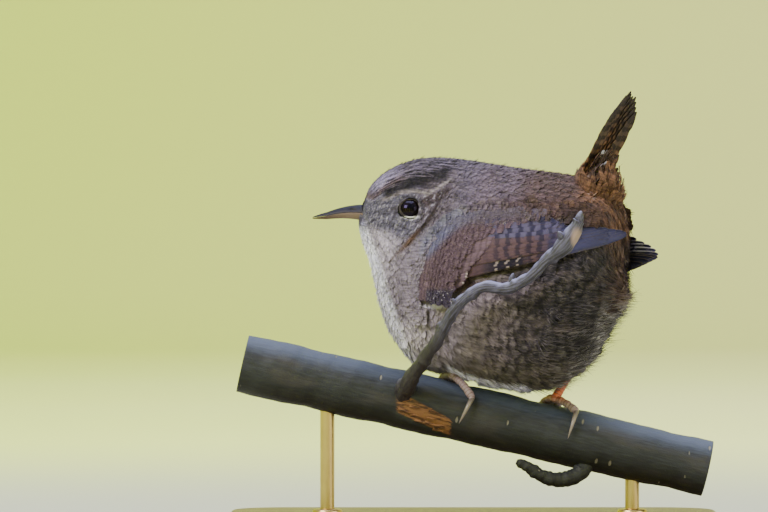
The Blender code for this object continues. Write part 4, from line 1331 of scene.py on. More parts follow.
colour = painted(
    mixed((0.088, 0.052, 0.052), (0.024, 0.017, 0.027), bars * (0.25 + 0.6 * step(px, 8, 12))),
    ((0.018, 0.016, 0.026), black_web * 0.8),
    (cream, spotted_web * step(px, 17, 15) * step(px, 8.5, 10.5) * 0.9),
    (grey, step(kind + rank * 0.8, 1.75, 2.3) * 0.8),
    (slate, step(px, 18, 24) * (0.3 + 0.7 * step(kind, 1.6, 0.9))),
)
fibre = joined(across * 1.6, from_tip + across * across * 0.6, chance * 9)
barb = grain(stretched(fibre, (1.0, 9.0, 5.0)), 1.0, 2.0)
shaft = step((across + SHAFT).absolute(), 0.06, 0.02)
colour = mixed(colour, (0.055, 0.04, 0.035), shaft * 0.7)
colour = shaded(colour, 0.6 + barb * 0.5 + chance * 0.15, 0.95, 1.25)
rim = step(across.absolute(), 0.9, 1.0)
flight.give(
    base_color=mixed(colour, mixed(colour, (0.34, 0.25, 0.18), 0.35), rim * 0.6),
    roughness=0.6 + barb * 0.3,
    normal=bump(barb, 0.00005),
)
print(flight)

# %% [markdown]
# Coverts are greyer and finer barred. Those at the bend of the wing are bluish, the upper ones take the
# back's tone, some end in a pale dot, and the lowest row is black with white ends, the pale line at the
# wing's edge.

# %% Covert finish
COVERT_BAR_GAP = 1.15

covert = Finish("coverts", specular_ior_level=0.15)
px, _, pz, place = attribute(covert, "place")
_, from_tip, chance, vane = attribute(covert, "vane")
wobble = grain(place, 0.5, 2.0) - 0.5
phase = px * (2 * math.pi / COVERT_BAR_GAP) - pz * 1.3 + wobble * 7.0 + chance * 1.5
bars = step(phase.sine(), -0.1, 0.8)
front = step(px - (pz - 60) * 1.3, -5.0, -9.5) * step(pz, 59.0, 62.5)
colour = mixed((0.108, 0.071, 0.077), (0.138, 0.138, 0.205), front * 0.9)
colour = mixed(colour, (0.45, 0.42, 0.44), bars * 0.5, "MULTIPLY")
tips = step(from_tip, 0.55, 0.2) * step(chance, 0.80, 0.86)
low_edge = step(pz, 54.9, 53.6) * step(px, -8.0, -6.5)
white_ends = step(chance, 0.66, 0.7) * step(from_tip, 0.7, 0.4)
colour = painted(
    colour,
    ((0.100, 0.086, 0.102), step(pz - px * 0.12, 66.0, 68.3) * 0.7),
    ((0.42, 0.36, 0.30), tips * 0.55),
    (mixed((0.034, 0.031, 0.050), (0.55, 0.52, 0.50), white_ends), low_edge * 0.75),
)
streak = grain(stretched(vane, (3.0, 0.5, 40.0)), 2.0, 3.0)
covert.give(
    base_color=shaded(colour, 0.35 + streak * 0.9 + chance * 0.4, 0.96, 1.22),
    roughness=0.65 + streak * 0.3,
    normal=bump(streak, 0.00005),
)
print(covert)

# %% [markdown]
# Long feathers and greater coverts lie in rows, each between its lowest and its highest feather. The small
# coverts over the bend of the wing are as soft as the coat, so they are tufts too. The coat itself comes
# over the wing's front and upper edges, so that the wing doesn't look stuck on. `lay_on_sheet` sets tufts on
# a sheet as `lay` does on the body.

# %% Tufts on a sheet


def lay_on_sheet(place, roots, shapes, draw, long, wide, heading, low, high, side, unwrap):
    """Tufts at roots on a sheet, with tips along heading. low and high are heights of root and tip."""
    chance = draw.random(len(roots))
    pick = draw.integers(len(shapes), size=len(roots))
    sets = []
    for kind, (shape, faces) in enumerate(shapes):
        mine = np.nonzero(pick == kind)[0]
        if not len(mine):
            continue
        size, share, lean, foot, lift = (g[mine, None] for g in (long, wide, heading, low, high - low))
        u, v = shape[:, 0] * (share * size) * side, shape[:, 1] * size
        lean = lean + shape[:, 1] * draw.normal(0, 0.12, (len(mine), 1))
        first = roots[mine, :1] + v * np.cos(lean) - u * np.sin(lean)
        second = roots[mine, 1:] + v * np.sin(lean) + u * np.cos(lean)
        up = shape[:, 2] * size + foot + lift * np.clip(shape[:, 1], 0, 1.15) ** 0.8
        flow = np.stack([first, second / 10, np.zeros_like(first)], -1)
        flat = place(first, second, up)
        sets.append(laid(shape, faces, flat, flow, long[mine], chance[mine], unwrap[mine]))
    return sets


def strip_roots(edge, deep, count, draw):
    """Roots by chance on a strip along an edge of points (x, z), which is as deep as the vector deep."""
    t = draw.random(count)
    line = through(np.array(edge, float), t * (len(edge) - 1))
    return line + np.array(deep) * draw.random(count)[:, None], t


def sheet_unwrap(roots):
    """Where roots on a sheet lie on the coat's unwrap."""
    u = (roots[:, 0] - GRID_X[0]) / (GRID_X[-1] - GRID_X[0])
    v = (roots[:, 1] - GRID_Z[0]) / (GRID_Z[-1] - GRID_Z[0])
    return np.clip(np.stack([u, v], -1), 0.01, 0.99)


# %% Rows of a wing
# Each row: how many, lowest root and tip, highest root and tip, reach, width, the two heights, and kind
OUTER_ROWS = {
    -1: (9, (-7.5, 54.6), (31.2, 65.0), (-6.5, 57.6), (28.8, 66.8), 4.0, 3.4, 1.0, 1.6, 0),
    1: (9, (-7.5, 54.6), (31.8, 63.0), (-6.5, 57.6), (29.8, 68.0), 4.0, 3.4, 1.0, 1.6, 0),
}
INNER_ROWS = (
    (7, (-6.3, 58.2), (26.2, 64.8), (-0.5, 63.4), (25.0, 66.7), 0.6, 3.8, 1.7, 2.3, 1),
    (4, (1.0, 64.4), (24.6, 66.4), (4.6, 67.6), (19.6, 69.0), 0.6, 4.0, 2.3, 2.8, 2),
)
GREATER_COVERTS = (
    (6, (-9.4, 54.2), (3.6, 55.2), (-8.6, 56.6), (4.8, 58.0), 0.4, 2.2, 1.6, 1.9, 0),
    (10, (-7.4, 57.0), (5.4, 58.8), (1.4, 66.8), (11.2, 68.4), 0.9, 2.9, 2.0, 2.7, 1),
    (4, (-9.4, 53.2), (0.4, 51.4), (-8.8, 55.4), (1.2, 53.8), 0.4, 1.9, 1.9, 2.4, 2),
)


def wing_rows(name, side, place, draw):
    """Primaries, secondaries and tertials in one piece, and the greater coverts in another."""
    droop = WING_DROOP if side > 0 else 0.0
    feathers = []
    for row in (OUTER_ROWS[side], *INNER_ROWS):
        feathers += tier(*row, draw, droop)
    mesh = long_feathers(place, feathers, FLIGHT, 30, draw)
    feather_piece(mesh, "flight_feathers_" + name, flight, ("wing_" + name,))
    shorts = []
    for row in GREATER_COVERTS:
        shorts += tier(*row, draw)
    mesh = long_feathers(place, shorts, SHORT, 16, draw, ragged=0.14)
    feather_piece(mesh, "coverts_" + name, covert)


# %% Small coverts of a wing
BEND_OF_WING = ((-12.6, 53.0), (-12.4, 57.6), (-10.6, 62.4), (-7.0, 66.4), (-1.5, 69.0), (4.6, 70.0))
COVERT_DEPTH = 11.5
SOFT_TUFTS = [tuft(16, 2, seed, 0.02) for seed in range(40, 46)]


def small_coverts(name, side, place, draw):
    """Soft tufts from the bend of the wing back, longer and fewer as they go."""
    roots, t = strip_roots(BEND_OF_WING, (COVERT_DEPTH, -0.6), 1500, draw)
    bend_x = np.interp(t, np.linspace(0, 1, len(BEND_OF_WING)), [x for x, z in BEND_OF_WING])
    back = (roots[:, 0] - bend_x) / COVERT_DEPTH
    keep = draw.random(len(back)) < 1.15 - 0.4 * back
    roots, t, back = roots[keep], t[keep], back[keep]
    count = len(roots)
    long = (1.9 + 2.0 * back) * draw.uniform(0.85, 1.15, count)
    heading = np.radians(-12 + 20 * t + draw.normal(0, 10, count))
    high = 0.3 + 2.2 * np.clip(back * 2.6, 0, 1) ** 0.8 + 0.4 * t + draw.uniform(0, 0.25, count)
    wide, unwrap = np.full(count, 1.0), sheet_unwrap(roots)
    sets = lay_on_sheet(place, roots, SOFT_TUFTS, draw, long, wide, heading, high - 1.0, high, side, unwrap)
    tuft_piece(sets, "small_coverts_" + name, covert)


# %% The cape over a wing's edge
CAPE_EDGE = (
    (-13.2, 50.6), (-14.8, 53.6), (-14.6, 58.0), (-13.2, 61.6),
    (-9.8, 65.2), (-5.2, 68.6), (2.0, 70.9), (8.0, 71.4),
)
SCAPULAR_EDGE = ((6.0, 71.0), (12.0, 71.4), (18.0, 71.2), (24.0, 70.6))


def cape(name, side, place, draw):
    """Coat feathers over the wing's front edge, where t is 0 to 1, and its upper edge, where t is 1 to 2."""
    roots, t = strip_roots(CAPE_EDGE, (2.6, -0.6), 700, draw)
    over, over_t = strip_roots(SCAPULAR_EDGE, (1.5, -1.6), 380, draw)
    roots = np.concatenate([roots, over])
    t = np.concatenate([t, 1 + over_t])
    count = len(roots)
    long = np.interp(t, (0, 0.15, 0.4, 1, 2), (3.8, 3.8, 3.0, 3.6, 4.4)) * draw.uniform(0.65, 1.3, count)
    slant = np.interp(t, (0, 0.45, 0.75, 1, 2), (-42, -40, -12, 0, -8))
    heading = np.radians(slant + draw.normal(0, 15, count))
    low = draw.uniform(-0.4, 0.1, count)
    high = np.interp(t, (0, 0.15, 0.3, 1, 1.4, 2), (1.2, 1.3, 1.3, 2.6, 3.2, 1.6))
    high = high * draw.uniform(0.7, 1.15, count)
    wide, unwrap = np.full(count, 0.95), sheet_unwrap(roots)
    sets = lay_on_sheet(place, roots, BODY_TUFTS, draw, long, wide, heading, low, high, side, unwrap)
    tuft_piece(sets, "coat_cape_" + name)


# %% Both wings
for name, side in (("left", -1), ("right", 1)):
    draw = np.random.default_rng(300 + side)
    place = wing_sheet(side)
    wing_rows(name, side, place, draw)
    small_coverts(name, side, place, draw)
    cape(name, side, place, draw)

# %% [markdown]
# ## Tail
#
# The tail is cocked nearly upright: twelve feathers, the middle pair on top, fanned a little from one fleshy
# root. They lie on a sheet of their own, given by how far across the tail and how far up it a point is. It
# is slightly bowed, and turned so that its near edge comes forward. Coverts and fluff cover the roots before
# and behind.

# %% The sheet that the tail lies on
TAIL_ROOT = np.array((19.0, 0.0, 66.9))
TAIL_TIP = np.array((32.3, 0.0, 95.2))
TAIL_LENGTH = float(np.linalg.norm(TAIL_TIP - TAIL_ROOT))
TAIL_ALONG = (TAIL_TIP - TAIL_ROOT) / TAIL_LENGTH
TAIL_FRONT = np.array((-TAIL_ALONG[2], 0.0, TAIL_ALONG[0]))
TAIL_TWIST = (math.radians(12), 9.0)
TAIL_CORE = (4.0, 4.2, 7.5, 8.5, -2.6)
CORE_ROUND = 4.2  # mm round the root for each radian


def tail_sheet(across, up, height):
    """A point across the tail, up along it, and out of its front face."""
    share = up / TAIL_LENGTH
    bow = 4 * 0.85 * share * (1 - share)
    twist = TAIL_TWIST[0] * np.clip(up / TAIL_TWIST[1], 0, 1)
    height = height - 0.015 * across * across
    ahead = height * np.cos(twist) - across * np.sin(twist) + bow
    beside = across * np.cos(twist) + height * np.sin(twist)
    point = TAIL_ROOT + up[..., None] * TAIL_ALONG + ahead[..., None] * TAIL_FRONT
    point[..., 1] += beside
    return point


def core_sheet(around, up, height):
    """A point round the tail's fleshy root: mm round it from the front, up the tail, and out of it."""
    front, side, tall, middle, back = TAIL_CORE
    share = np.sqrt(np.clip(1 - ((up - middle) / tall) ** 2, 0.08, 1))
    turn = around / CORE_ROUND
    across = (side * share + height) * np.sin(turn)
    ahead = back * (0.4 + 0.6 * share) + (front * share + height) * np.cos(turn)
    return tail_sheet(across, up, ahead)


# %% [markdown]
# Tail feathers are rufous with a dark bar every 2 mm, counted from each feather's own tip, and darker
# towards it. The soft coverts round the root have the same bars, pale spots near the tips and the dark
# column of the rump's middle. In their one finish `kind` is 0 for a tail feather and 1 for a covert.

# %% Tail finish
tail_vanes = Finish("tail feathers", specular_ior_level=0.15)
px, _, pz, place = attribute(tail_vanes, "place")
kind, _, _, _ = attribute(tail_vanes, "sample")
across, from_tip, chance, _ = attribute(tail_vanes, "vane")
wobble = grain(place, 0.55, 3.0) - 0.5
phase = from_tip * (2 * math.pi / BAR_GAP) + wobble * 6.0 + across.absolute() * 1.1 + chance * 2.2
wave = phase.sine()
column = step(off_column(px, pz), 2.0, 1.1) * kind
rufous = mixed((0.150, 0.060, 0.022), (0.24, 0.14, 0.08), step(wave, -0.55, -0.95) * 0.4)
rufous = mixed(rufous, (0.052, 0.032, 0.020), step(from_tip, 15, 4) * (1 - kind))
rufous = mixed((0.030, 0.019, 0.014), rufous, 0.35 + 0.65 * step(across.absolute(), 0.3, 0.75))
spots = step(wave, -0.5, -0.85) * step(across.absolute(), 0.45, 0.2) * step(from_tip, 9, 13)
spots = spots + step(from_tip, 1.2, 0.6) * column
colour = painted(
    rufous,
    ((0.012, 0.008, 0.007), step(wave, -0.35, 0.3) * 0.85),
    ((0.034, 0.023, 0.019), column * 0.7),
    ((0.36, 0.33, 0.34), spots * step(chance, 0.55, 0.65) * 0.75),
    ((0.030, 0.023, 0.020), step(from_tip, 3.2, 1.2) * (1 - kind) * 0.8),
    ((0.05, 0.03, 0.022), step((across + SHAFT).absolute(), 0.06, 0.02) * 0.7),
)
barb = grain(joined(across * 1.6, (from_tip + across * across * 0.6) * 9.0, chance * 40.0), 1.0, 2.0)
tail_vanes.give(
    base_color=shaded(colour, 0.95 + barb * 0.6 + chance * 0.35, 1.06, 1.42),
    roughness=0.6 + barb * 0.3,
    normal=bump(barb, 0.00005),
)
print(tail_vanes)

# %% Tail feathers and their coverts
WORN = ((0, 0.2, 0.4, 0.6, 0.8, 0.9, 0.95, 0.98, 1.0), (0.7, 0.92, 1.0, 1.0, 0.88, 0.62, 0.42, 0.25, 0.04))
draw = np.random.default_rng(501)
feathers = []
for pair in range(6):
    t = (pair + 0.35) / 5.35
    for side in (-1, 1):
        reach = TAIL_LENGTH - 3.6 * (pair / 5) ** 1.6 + draw.uniform(-1.1, 0.3)
        lift = -0.16 * (pair + 0.5 * (side > 0))
        feathers.append(((side * 2.7 * t, 4.0), (side * 4.1 * t, reach), 4.1, lift, lift, 0, t))
mesh = long_feathers(tail_sheet, feathers[::-1], WORN, 26, draw, dome=0.1, ragged=0.2, bow=0.0, dip=0.0)
feather_piece(mesh, "tail_feathers", tail_vanes, ("tail",))

# Rows of coverts before the tail and then behind it: how many, how far up, spread, width, and height
COVERT_ROWS = (
    (5, 16.8, 2.6, 3.0, 0.25), (6, 14.2, 3.2, 3.0, 0.4), (7, 11.6, 3.6, 3.0, 0.7), (7, 19.4, 3.4, 2.8, -2.0),
    (8, 16.8, 4.0, 2.9, -3.4), (9, 14.2, 4.5, 3.0, -4.8), (9, 11.8, 4.8, 3.0, -6.0),
)
feathers = []
for count, reach, spread, width, lift in COVERT_ROWS:
    for i in range(count):
        share = 2 * i / (count - 1) - 1
        height = lift + 0.08 * i * (1 if lift > 0 else -1)
        tip = (share * spread, reach - 1.4 * abs(share) + draw.uniform(-0.5, 0.5))
        feathers.append(((share * spread * 0.6, 3.0), tip, width, height * 0.4, height, 1, share))
mesh = long_feathers(tail_sheet, feathers, SHORT, 18, draw, dome=0.1, ragged=0.3, bow=0.0, dip=0.0)
feather_piece(mesh, "tail_coverts", tail_vanes)

# %% [markdown]
# Between the coverts and the coat lies fluff, the loosest feathers of the bird. It is tufts with thin barbs,
# sown round the tail's fleshy root, and long enough behind it to close the gap under the tail.

# %% The fluff round the tail's root
FLUFF_TUFTS = [tuft(12, 2, seed, 0.012) for seed in range(60, 66)]
for name, lowest, highest, count in (("coat_rump", 0.5, 6.0, 1500), ("coat_undertail", 5.0, 11.0, 1300)):
    draw = np.random.default_rng(int(520 + lowest))
    up = draw.uniform(lowest, highest, count)
    around = draw.uniform(-math.pi, math.pi, count) * CORE_ROUND
    behind = (1 - np.cos(around / CORE_ROUND)) / 2
    long = (4.6 + 1.8 * behind) * draw.uniform(0.75, 1.2, count)
    heading = np.radians(90 + draw.normal(0, 16, count))
    low = draw.uniform(-0.6, 0.0, count)
    high = (0.4 + 0.9 * behind) * (draw.uniform(0.2, 1.0, count) + 1.2 * (draw.random(count) > 0.85))
    roots = np.stack([around, up], -1)
    unwrap = np.stack([around / (2 * math.pi * CORE_ROUND) + 0.5, up / 16], -1)
    wide = np.full(count, 0.34)
    sets = lay_on_sheet(core_sheet, roots, FLUFF_TUFTS, draw, long, wide, heading, low, high, 1, unwrap)
    tuft_piece(sets, name)

# %% [markdown]
# ## Eyes and lids
#
# The eye is a wet, nearly black ball let into the head. A thin bare lid runs round it, whose lower part is
# white. The ball is a sphere, since only its gloss shows. Its finish reads how far a point is from the way
# that the eye looks, so that a dim iris lies round the pupil.

# %% Eye and lid finishes
EYE_RADIUS = 2.7
EYE_DEPTH = 1.9
LID_RADIUS = 2.16
LID_THICKNESS = 0.24

wet = Finish("wet eye", roughness=0.05, specular_ior_level=0.16, specular_tint=(0.55, 0.45, 1.0, 1.0))
_, rim, _, _ = attribute(wet, "look")
iris = step(rim, 0.28, 0.36) * step(rim, 0.80, 0.70)
wet.give(base_color=mixed((0.002, 0.002, 0.003), (0.006, 0.004, 0.004), iris))

lid_skin = Finish("lid skin", roughness=0.8, specular_ior_level=0.1)
place = object_place(lid_skin)
pores = grain(place, 2500.0)
lid_colour = mixed((0.020, 0.016, 0.018), (0.050, 0.040, 0.040), pores)
white = step(parts(place)[2], 0.06965, 0.06935)
lid_skin.give(base_color=mixed(lid_colour, (0.62, 0.60, 0.62), white * 0.9), normal=bump(pores, 0.00004))
print(wet, "and", lid_skin)

# %% [markdown]
# Each eye looks straight out of the head there, which half widths a millimetre ahead, behind, above and
# below the eye tell. The lid is a small circle spun full circle, then pinched a little at its corners and
# laid flat on the head.

# %% Eyes and lids
eye_x, eye_z = np.array(EYE)
surface = half_width(eye_x, eye_z)
ahead = half_width(eye_x - 1, eye_z) - half_width(eye_x + 1, eye_z)
tilt = half_width(eye_x, eye_z + 1) - half_width(eye_x, eye_z - 1)
for name, side in (("left", -1), ("right", 1)):
    out = unit(np.array((-ahead / 2, side, -tilt / 2)))
    middle = np.array((eye_x, side * surface, eye_z)) - out * EYE_DEPTH
    across = unit(np.cross(out, (0.0, 0.0, 1.0)))
    upward = np.cross(across, out)

    bm = bmesh.new()
    bmesh.ops.create_uvsphere(bm, u_segments=48, v_segments=32, radius=EYE_RADIUS)
    centre = turned(middle)
    gaze = unit(turned(middle + out) - centre)
    balls = np.array([v.co for v in bm.verts])
    facing = balls @ gaze / EYE_RADIUS
    keep_vectors(bm, look=np.stack([facing, np.sqrt(np.clip(1 - facing**2, 0, 1)) / 0.86, facing * 0], -1))
    bmesh.ops.translate(bm, verts=bm.verts, vec=centre)
    finished(bm, "eyeball_" + name, wet.material, ("eye_" + name,))

    bm = bmesh.new()
    turn = Matrix.Rotation(math.pi / 2, 4, "X")
    ring = bmesh.ops.create_circle(bm, segments=12, radius=LID_THICKNESS, matrix=turn)["verts"]
    bmesh.ops.translate(bm, verts=ring, vec=(LID_RADIUS, 0, 0))
    bmesh.ops.spin(
        bm, geom=bm.verts[:] + bm.edges[:], cent=(0, 0, 0), axis=(0, 0, 1), angle=2 * math.pi, steps=72,
        use_merge=True,
    )
    lid = np.array([v.co for v in bm.verts])
    circle = np.arctan2(lid[:, 1], lid[:, 0])
    pinch = 1 + 0.05 * np.cos(2 * circle)
    depth = EYE_DEPTH - 0.15 - 0.06 * np.cos(2 * circle)
    flat = middle + out * (lid[:, 2:] + depth[:, None])
    flat = flat + lid[:, :1] * pinch[:, None] * across + lid[:, 1:2] * pinch[:, None] * 0.97 * upward
    put(bm, turned(flat))
    finished(bm, "lid_" + name, lid_skin.material)

# %% [markdown]
# Outside the lid lies a ring of the smallest feathers. Their roots are drawn round the eye, seen from the
# side, and a fine net of the body gives each its `s` and angle. They lie backwards along the rim of the eye.

# %% Feathers round the eyes
RING_FEATHERS = 170
near_s, near_angle = np.meshgrid(np.linspace(3.0, 6.6, 300), np.linspace(0, 2 * math.pi, 900), indexing="ij")
near_s, near_angle = near_s.ravel(), near_angle.ravel()
near_flat = body_line(near_s, near_angle)
roots = []
draw = np.random.default_rng(610)
for side in (-1, 1):
    for k in range(RING_FEATHERS):
        turn = 2 * math.pi * draw.random()
        away = draw.uniform(2.25, 3.0)
        target = (EYE[0] + away * math.cos(turn), EYE[1] + away * math.sin(turn))
        gap = np.hypot(near_flat[:, 0] - target[0], near_flat[:, 2] - target[1])
        nearest = np.argmin(gap + 9 * (near_flat[:, 1] * side < 2))
        roots.append((near_s[nearest], near_angle[nearest], turn, side))
s, angle, turn, side = np.array(roots).T
count = len(s)
long = draw.uniform(0.7, 1.1, count)
rise = draw.uniform(0.1, 0.28, count)
lie = -side * 0.5 * np.sin(2 * turn)
wide, sink = np.full(count, 1.1), np.full(count, 0.35)
tuft_piece(lay((s, angle), FACE_TUFTS, draw, long, wide, lie, sink, rise), "coat_eye_rings")

# %% [markdown]
# ## Bill
#
# Two fine halves, each flat along the mouth and keeled along its outer line. Each is a closed tube of rings:
# the ring's upper part follows the keel and its lower part is pressed flat. The nostril is a slit pressed
# into the upper half and darkened by place.

# %% Bill finish
NOSTRIL = (-25.6, 71.05)

horn = Finish("bill horn", specular_ior_level=0.16)
way_y, way_rise, way_t, _ = attribute(horn, "way")
flat_x, _, flat_z, place = attribute(horn, "place")
lines = grain(stretched(place, (0.5, 5.0, 5.0)), 2.0, 3.0)
upper = mixed((0.010, 0.009, 0.024), (0.042, 0.034, 0.044), step(way_rise, 0.45, 0.05) * 0.6)
upper = mixed(upper, (0.014, 0.012, 0.018), step(way_t, 0.55, 1.0) * 0.6)
lower = mixed((0.24, 0.17, 0.14), (0.09, 0.06, 0.055), step(way_t, 0.35, 0.95))
colour = mixed(upper, lower, step(way_y, -0.4, -0.6))
colour = mixed(colour, (0.5, 0.45, 0.42), lines * 0.5, "MULTIPLY")
slit = spot(flat_x, flat_z, NOSTRIL, 0.8, 0.24, 0.35) * step(way_y, 0.4, 0.6)
horn.give(
    base_color=mixed(colour, (0.008, 0.006, 0.006), slit),
    roughness=0.34 + lines * 0.2,
    normal=bump(lines, 0.00004),
)
print(horn)

# %% Bill halves
BILL_ROOT_X = -21.0
BILL_TIP_X = -34.2
BILL_RINGS = 80

for name, sign in (("bill_top", 1), ("bill_bottom", -1)):
    bm, turn, ring = rings(BILL_RINGS, 36)
    t = ring / (BILL_RINGS - 1)
    x = BILL_ROOT_X + (BILL_TIP_X - BILL_ROOT_X) * t
    mouth = 70.0 + 0.4 * np.sin(np.pi * np.minimum(t * 1.3, 1)) - 0.75 * t**3
    height = 1.9 * (1 - t) ** 0.75 + 0.12 if sign > 0 else 1.7 * (1 - t) ** 0.8 + 0.12
    half = 1.75 * (1 - t) ** 0.85 + 0.12
    y = np.cos(turn)
    rise = np.where(np.sin(turn) > 0, (1 - np.abs(y) ** 1.8) ** 0.8, 0.06 * np.sin(turn))
    flat_z = mouth + sign * (0.05 + rise * height)
    flat_y = half * y
    dent = np.exp(-(((x - NOSTRIL[0]) / 0.75) ** 2) - ((flat_z - NOSTRIL[1]) / 0.26) ** 2) * (sign > 0)
    flat_y = flat_y - np.sign(flat_y) * 0.28 * dent
    flat = np.stack([x, flat_y, flat_z], -1)
    put(bm, turned(flat))
    keep_vectors(bm, place=flat, way=np.stack([np.full_like(t, sign), rise, t], -1))
    finished(bm, name, horn.material, ("bill_upper" if sign > 0 else "bill_lower",))

# %% [markdown]
# ## Legs and feet
#
# A perching foot holds the branch with three toes over the far side and the hind toe over the near side.
# Each toe is a tube along the bark with the rings of its scales, and the claws are tubes of their own that
# taper to a point. A tube swept along a line is quicker than a sculpted toe and keeps its scales evenly
# spaced. The leg goes up into the belly's feathers. The right one is orange, as it is in the photograph.

# %% Leg and claw finishes
SCUTE_GAP = 0.75

scale_skin = Finish("scaled skin", subsurface_weight=0.08, subsurface_radius=(0.001, 0.0004, 0.0002))
place = object_place(scale_skin)
ox, _, oz = parts(place)
_, _, along, _ = attribute(scale_skin, "way")
mottle = grain(place, 900.0, 3.0)
scales = step((along * (2 * math.pi / SCUTE_GAP)).sine(), 0.3, 0.95)
warm = step(ox, 0.008, 0.012) * step(oz, 0.0300, 0.0325)
colour = mixed((0.235, 0.155, 0.175), (0.38, 0.27, 0.31), mottle)
colour = mixed(colour, (0.66, 0.13, 0.035), warm * 0.92)
scale_skin.give(
    base_color=mixed(colour, (0.45, 0.36, 0.34), scales * 0.7, "MULTIPLY"),
    roughness=0.38 + mottle * 0.2,
    normal=bump(scales * -0.6 + mottle * 0.5, 0.00008),
)

claw_horn = Finish("claw horn", roughness=0.3, coat_weight=0.3)
_, _, along, way = attribute(claw_horn, "way")
streaks = grain(stretched(way, (1.5, 1.5, 0.4)), 3.0)
colour = mixed((0.20, 0.155, 0.14), (0.075, 0.058, 0.055), streaks)
claw_horn.give(
    base_color=mixed(colour, (0.30, 0.24, 0.21), step(along, 1.2, 3.2) * 0.5),
    normal=bump(streaks, 0.00003),
)
print(scale_skin, "and", claw_horn)

# %% Feet
TOE_RADIUS = 0.78
TOE_REACH = BRANCH_RADIUS + 0.3 + TOE_RADIUS + 0.25
FRONT_TOES = ((-3.2, -62, -3.9, -106), (-0.8, -76, -1.2, -120), (1.7, -62, 2.1, -106))
FEET = {
    "left": (-6.2, 12, (4.7, 60, 3.2, 108), (-3.4, -4.4, 41.0)),
    "right": (15.2, 4, (4.7, 38, 4.1, 91), (22.6, 1.0, 41.0)),
}


def toe_line(joint_x, joint_angle, end_x, end_angle, claw_x, claw_angle, first, last, count):
    """The middle line of a toe between two shares of it. After 0.66 it is the claw."""
    points = []
    for t in np.linspace(first, last, count):
        share = min(t / 0.66, 1.0)
        claw = max((t - 0.66) / 0.34, 0.0)
        x = joint_x + end_x * share + (claw_x - end_x) * claw
        angle = joint_angle + (end_angle - joint_angle) * share + (claw_angle - end_angle) * claw
        lift = 0.5 * math.sin(math.pi * claw) - 0.55 * claw
        points.append(round_branch(x, angle, TOE_REACH + lift))
    return points


def scutes(turn, along):
    """Low rings of scales round a toe or leg."""
    return 0.035 * np.maximum(np.sin(along * (2 * np.pi / SCUTE_GAP)), -0.4)


def add_to(whole, part):
    """Joins a bmesh into another, with its stored vectors."""
    mesh = bpy.data.meshes.new("joined")
    part.to_mesh(mesh)
    part.free()
    whole.from_mesh(mesh)
    bpy.data.meshes.remove(mesh)


for name, (joint_x, joint_angle, hind, top) in FEET.items():
    toes, claws = bmesh.new(), bmesh.new()
    joint = round_branch(joint_x, joint_angle, TOE_REACH + 0.1)
    for path in (hind, *FRONT_TOES):
        line = toe_line(joint_x, joint_angle, *path, 0.0, 0.70, 12)
        size = [TOE_RADIUS * (1 + 0.09 * math.cos(i * 2.2)) for i in range(12)]
        size[-2:] = [TOE_RADIUS * 0.86, TOE_RADIUS * 0.5]
        add_to(toes, sweep(line, size, 20, 70, scutes))
        line = toe_line(joint_x, joint_angle, *path, 0.62, 1.0, 9)
        size = [0.50, 0.52, 0.50, 0.45, 0.39, 0.32, 0.24, 0.15, 0.04]
        add_to(claws, sweep(line, size, 16, 40))
    ball = bmesh.new()
    bmesh.ops.create_icosphere(ball, subdivisions=4, radius=1.02)
    bmesh.ops.translate(ball, verts=ball.verts, vec=joint)
    keep_vectors(ball, way=np.array([(1, 0, (v.co.z - joint[2]) * 0.8) for v in ball.verts]))
    add_to(toes, ball)
    finished(toes, "toes_" + name, scale_skin.material, ("foot_" + name,))
    finished(claws, "claws_" + name, claw_horn.material)
    top = np.array(top)
    line = [joint + (top - joint) * t for t in np.linspace(0, 1, 7)]
    size = [0.95 * share for share in (1.06, 0.94, 0.9, 0.92, 0.98, 1.05, 1.1)]
    shank = sweep(line, size, 24, 90, scutes)
    finished(shank, "shank_" + name, scale_skin.material, ("leg_" + name,))

# %% [markdown]
# ## Branch, twig and spur
#
# The bark is young and smooth and dark grey, with fine lines along it and pale pores that lie across it. Its
# top is bluish, a painted highlight of sky light, and its underside darker olive, painted shade. Its vertices
# keep their turn round the branch and how far along they are, so pores lie across and lines along without an
# unwrap. Where the twig leaves, the bark is torn in a slanting patch, and the orange wood under it shows. The
# cut ends have a narrow rim, and the bark's finish too.

# %% Bark finish
TORN_MIDDLE = (-10.8, 112.0)  # x, and degrees from the branch's top towards -Y
TORN_SLANT = 3.0  # degrees for each mm along

bark = Finish("bark", specular_ior_level=0.35)
turn_cos, turn_sin, along, _ = attribute(bark, "way")
ox, _, _ = parts(object_place(bark))
wrap = joined(turn_cos * 6.0, turn_sin * 6.0, along)
lines = grain(stretched(wrap, (1.6, 1.6, 0.22)), 1.0, 4.0, 0.6)
clouds = grain(stretched(wrap, (1.0, 1.0, 0.35)), 0.28, 2.0)
fine = grain(wrap, 3.5, 3.0)
# The bluish top is a painted highlight of sky light; the darker olive underside is painted shade.
sky_highlight = step(turn_cos + lines * 0.3, 0.45, 1.25)
green = step(turn_cos + clouds, 0.55, -0.3)
cells = stretched(wrap, (1 / 7.0, 1 / 7.0, 1 / 3.0))
pore = bark.node("ShaderNodeTexVoronoi", {"feature": "F1"}, {"Vector": cells, "Scale": 1.0}, "Distance")
pores = step(pore + (fine - 0.5) * 0.06, 0.115, 0.075)
torn_x = ox * 1000 - TORN_MIDDLE[0]
torn_turn = torn_x * math.radians(TORN_SLANT) + math.radians(TORN_MIDDLE[1])
torn_near = turn_cos * torn_turn.cosine() + turn_sin * torn_turn.sine()
torn = step(torn_near + (lines - 0.5) * 0.05, 0.91, 0.94)
torn = torn * step(torn_x.absolute() + (fine - 0.5) * 1.6, 5.9, 5.2)
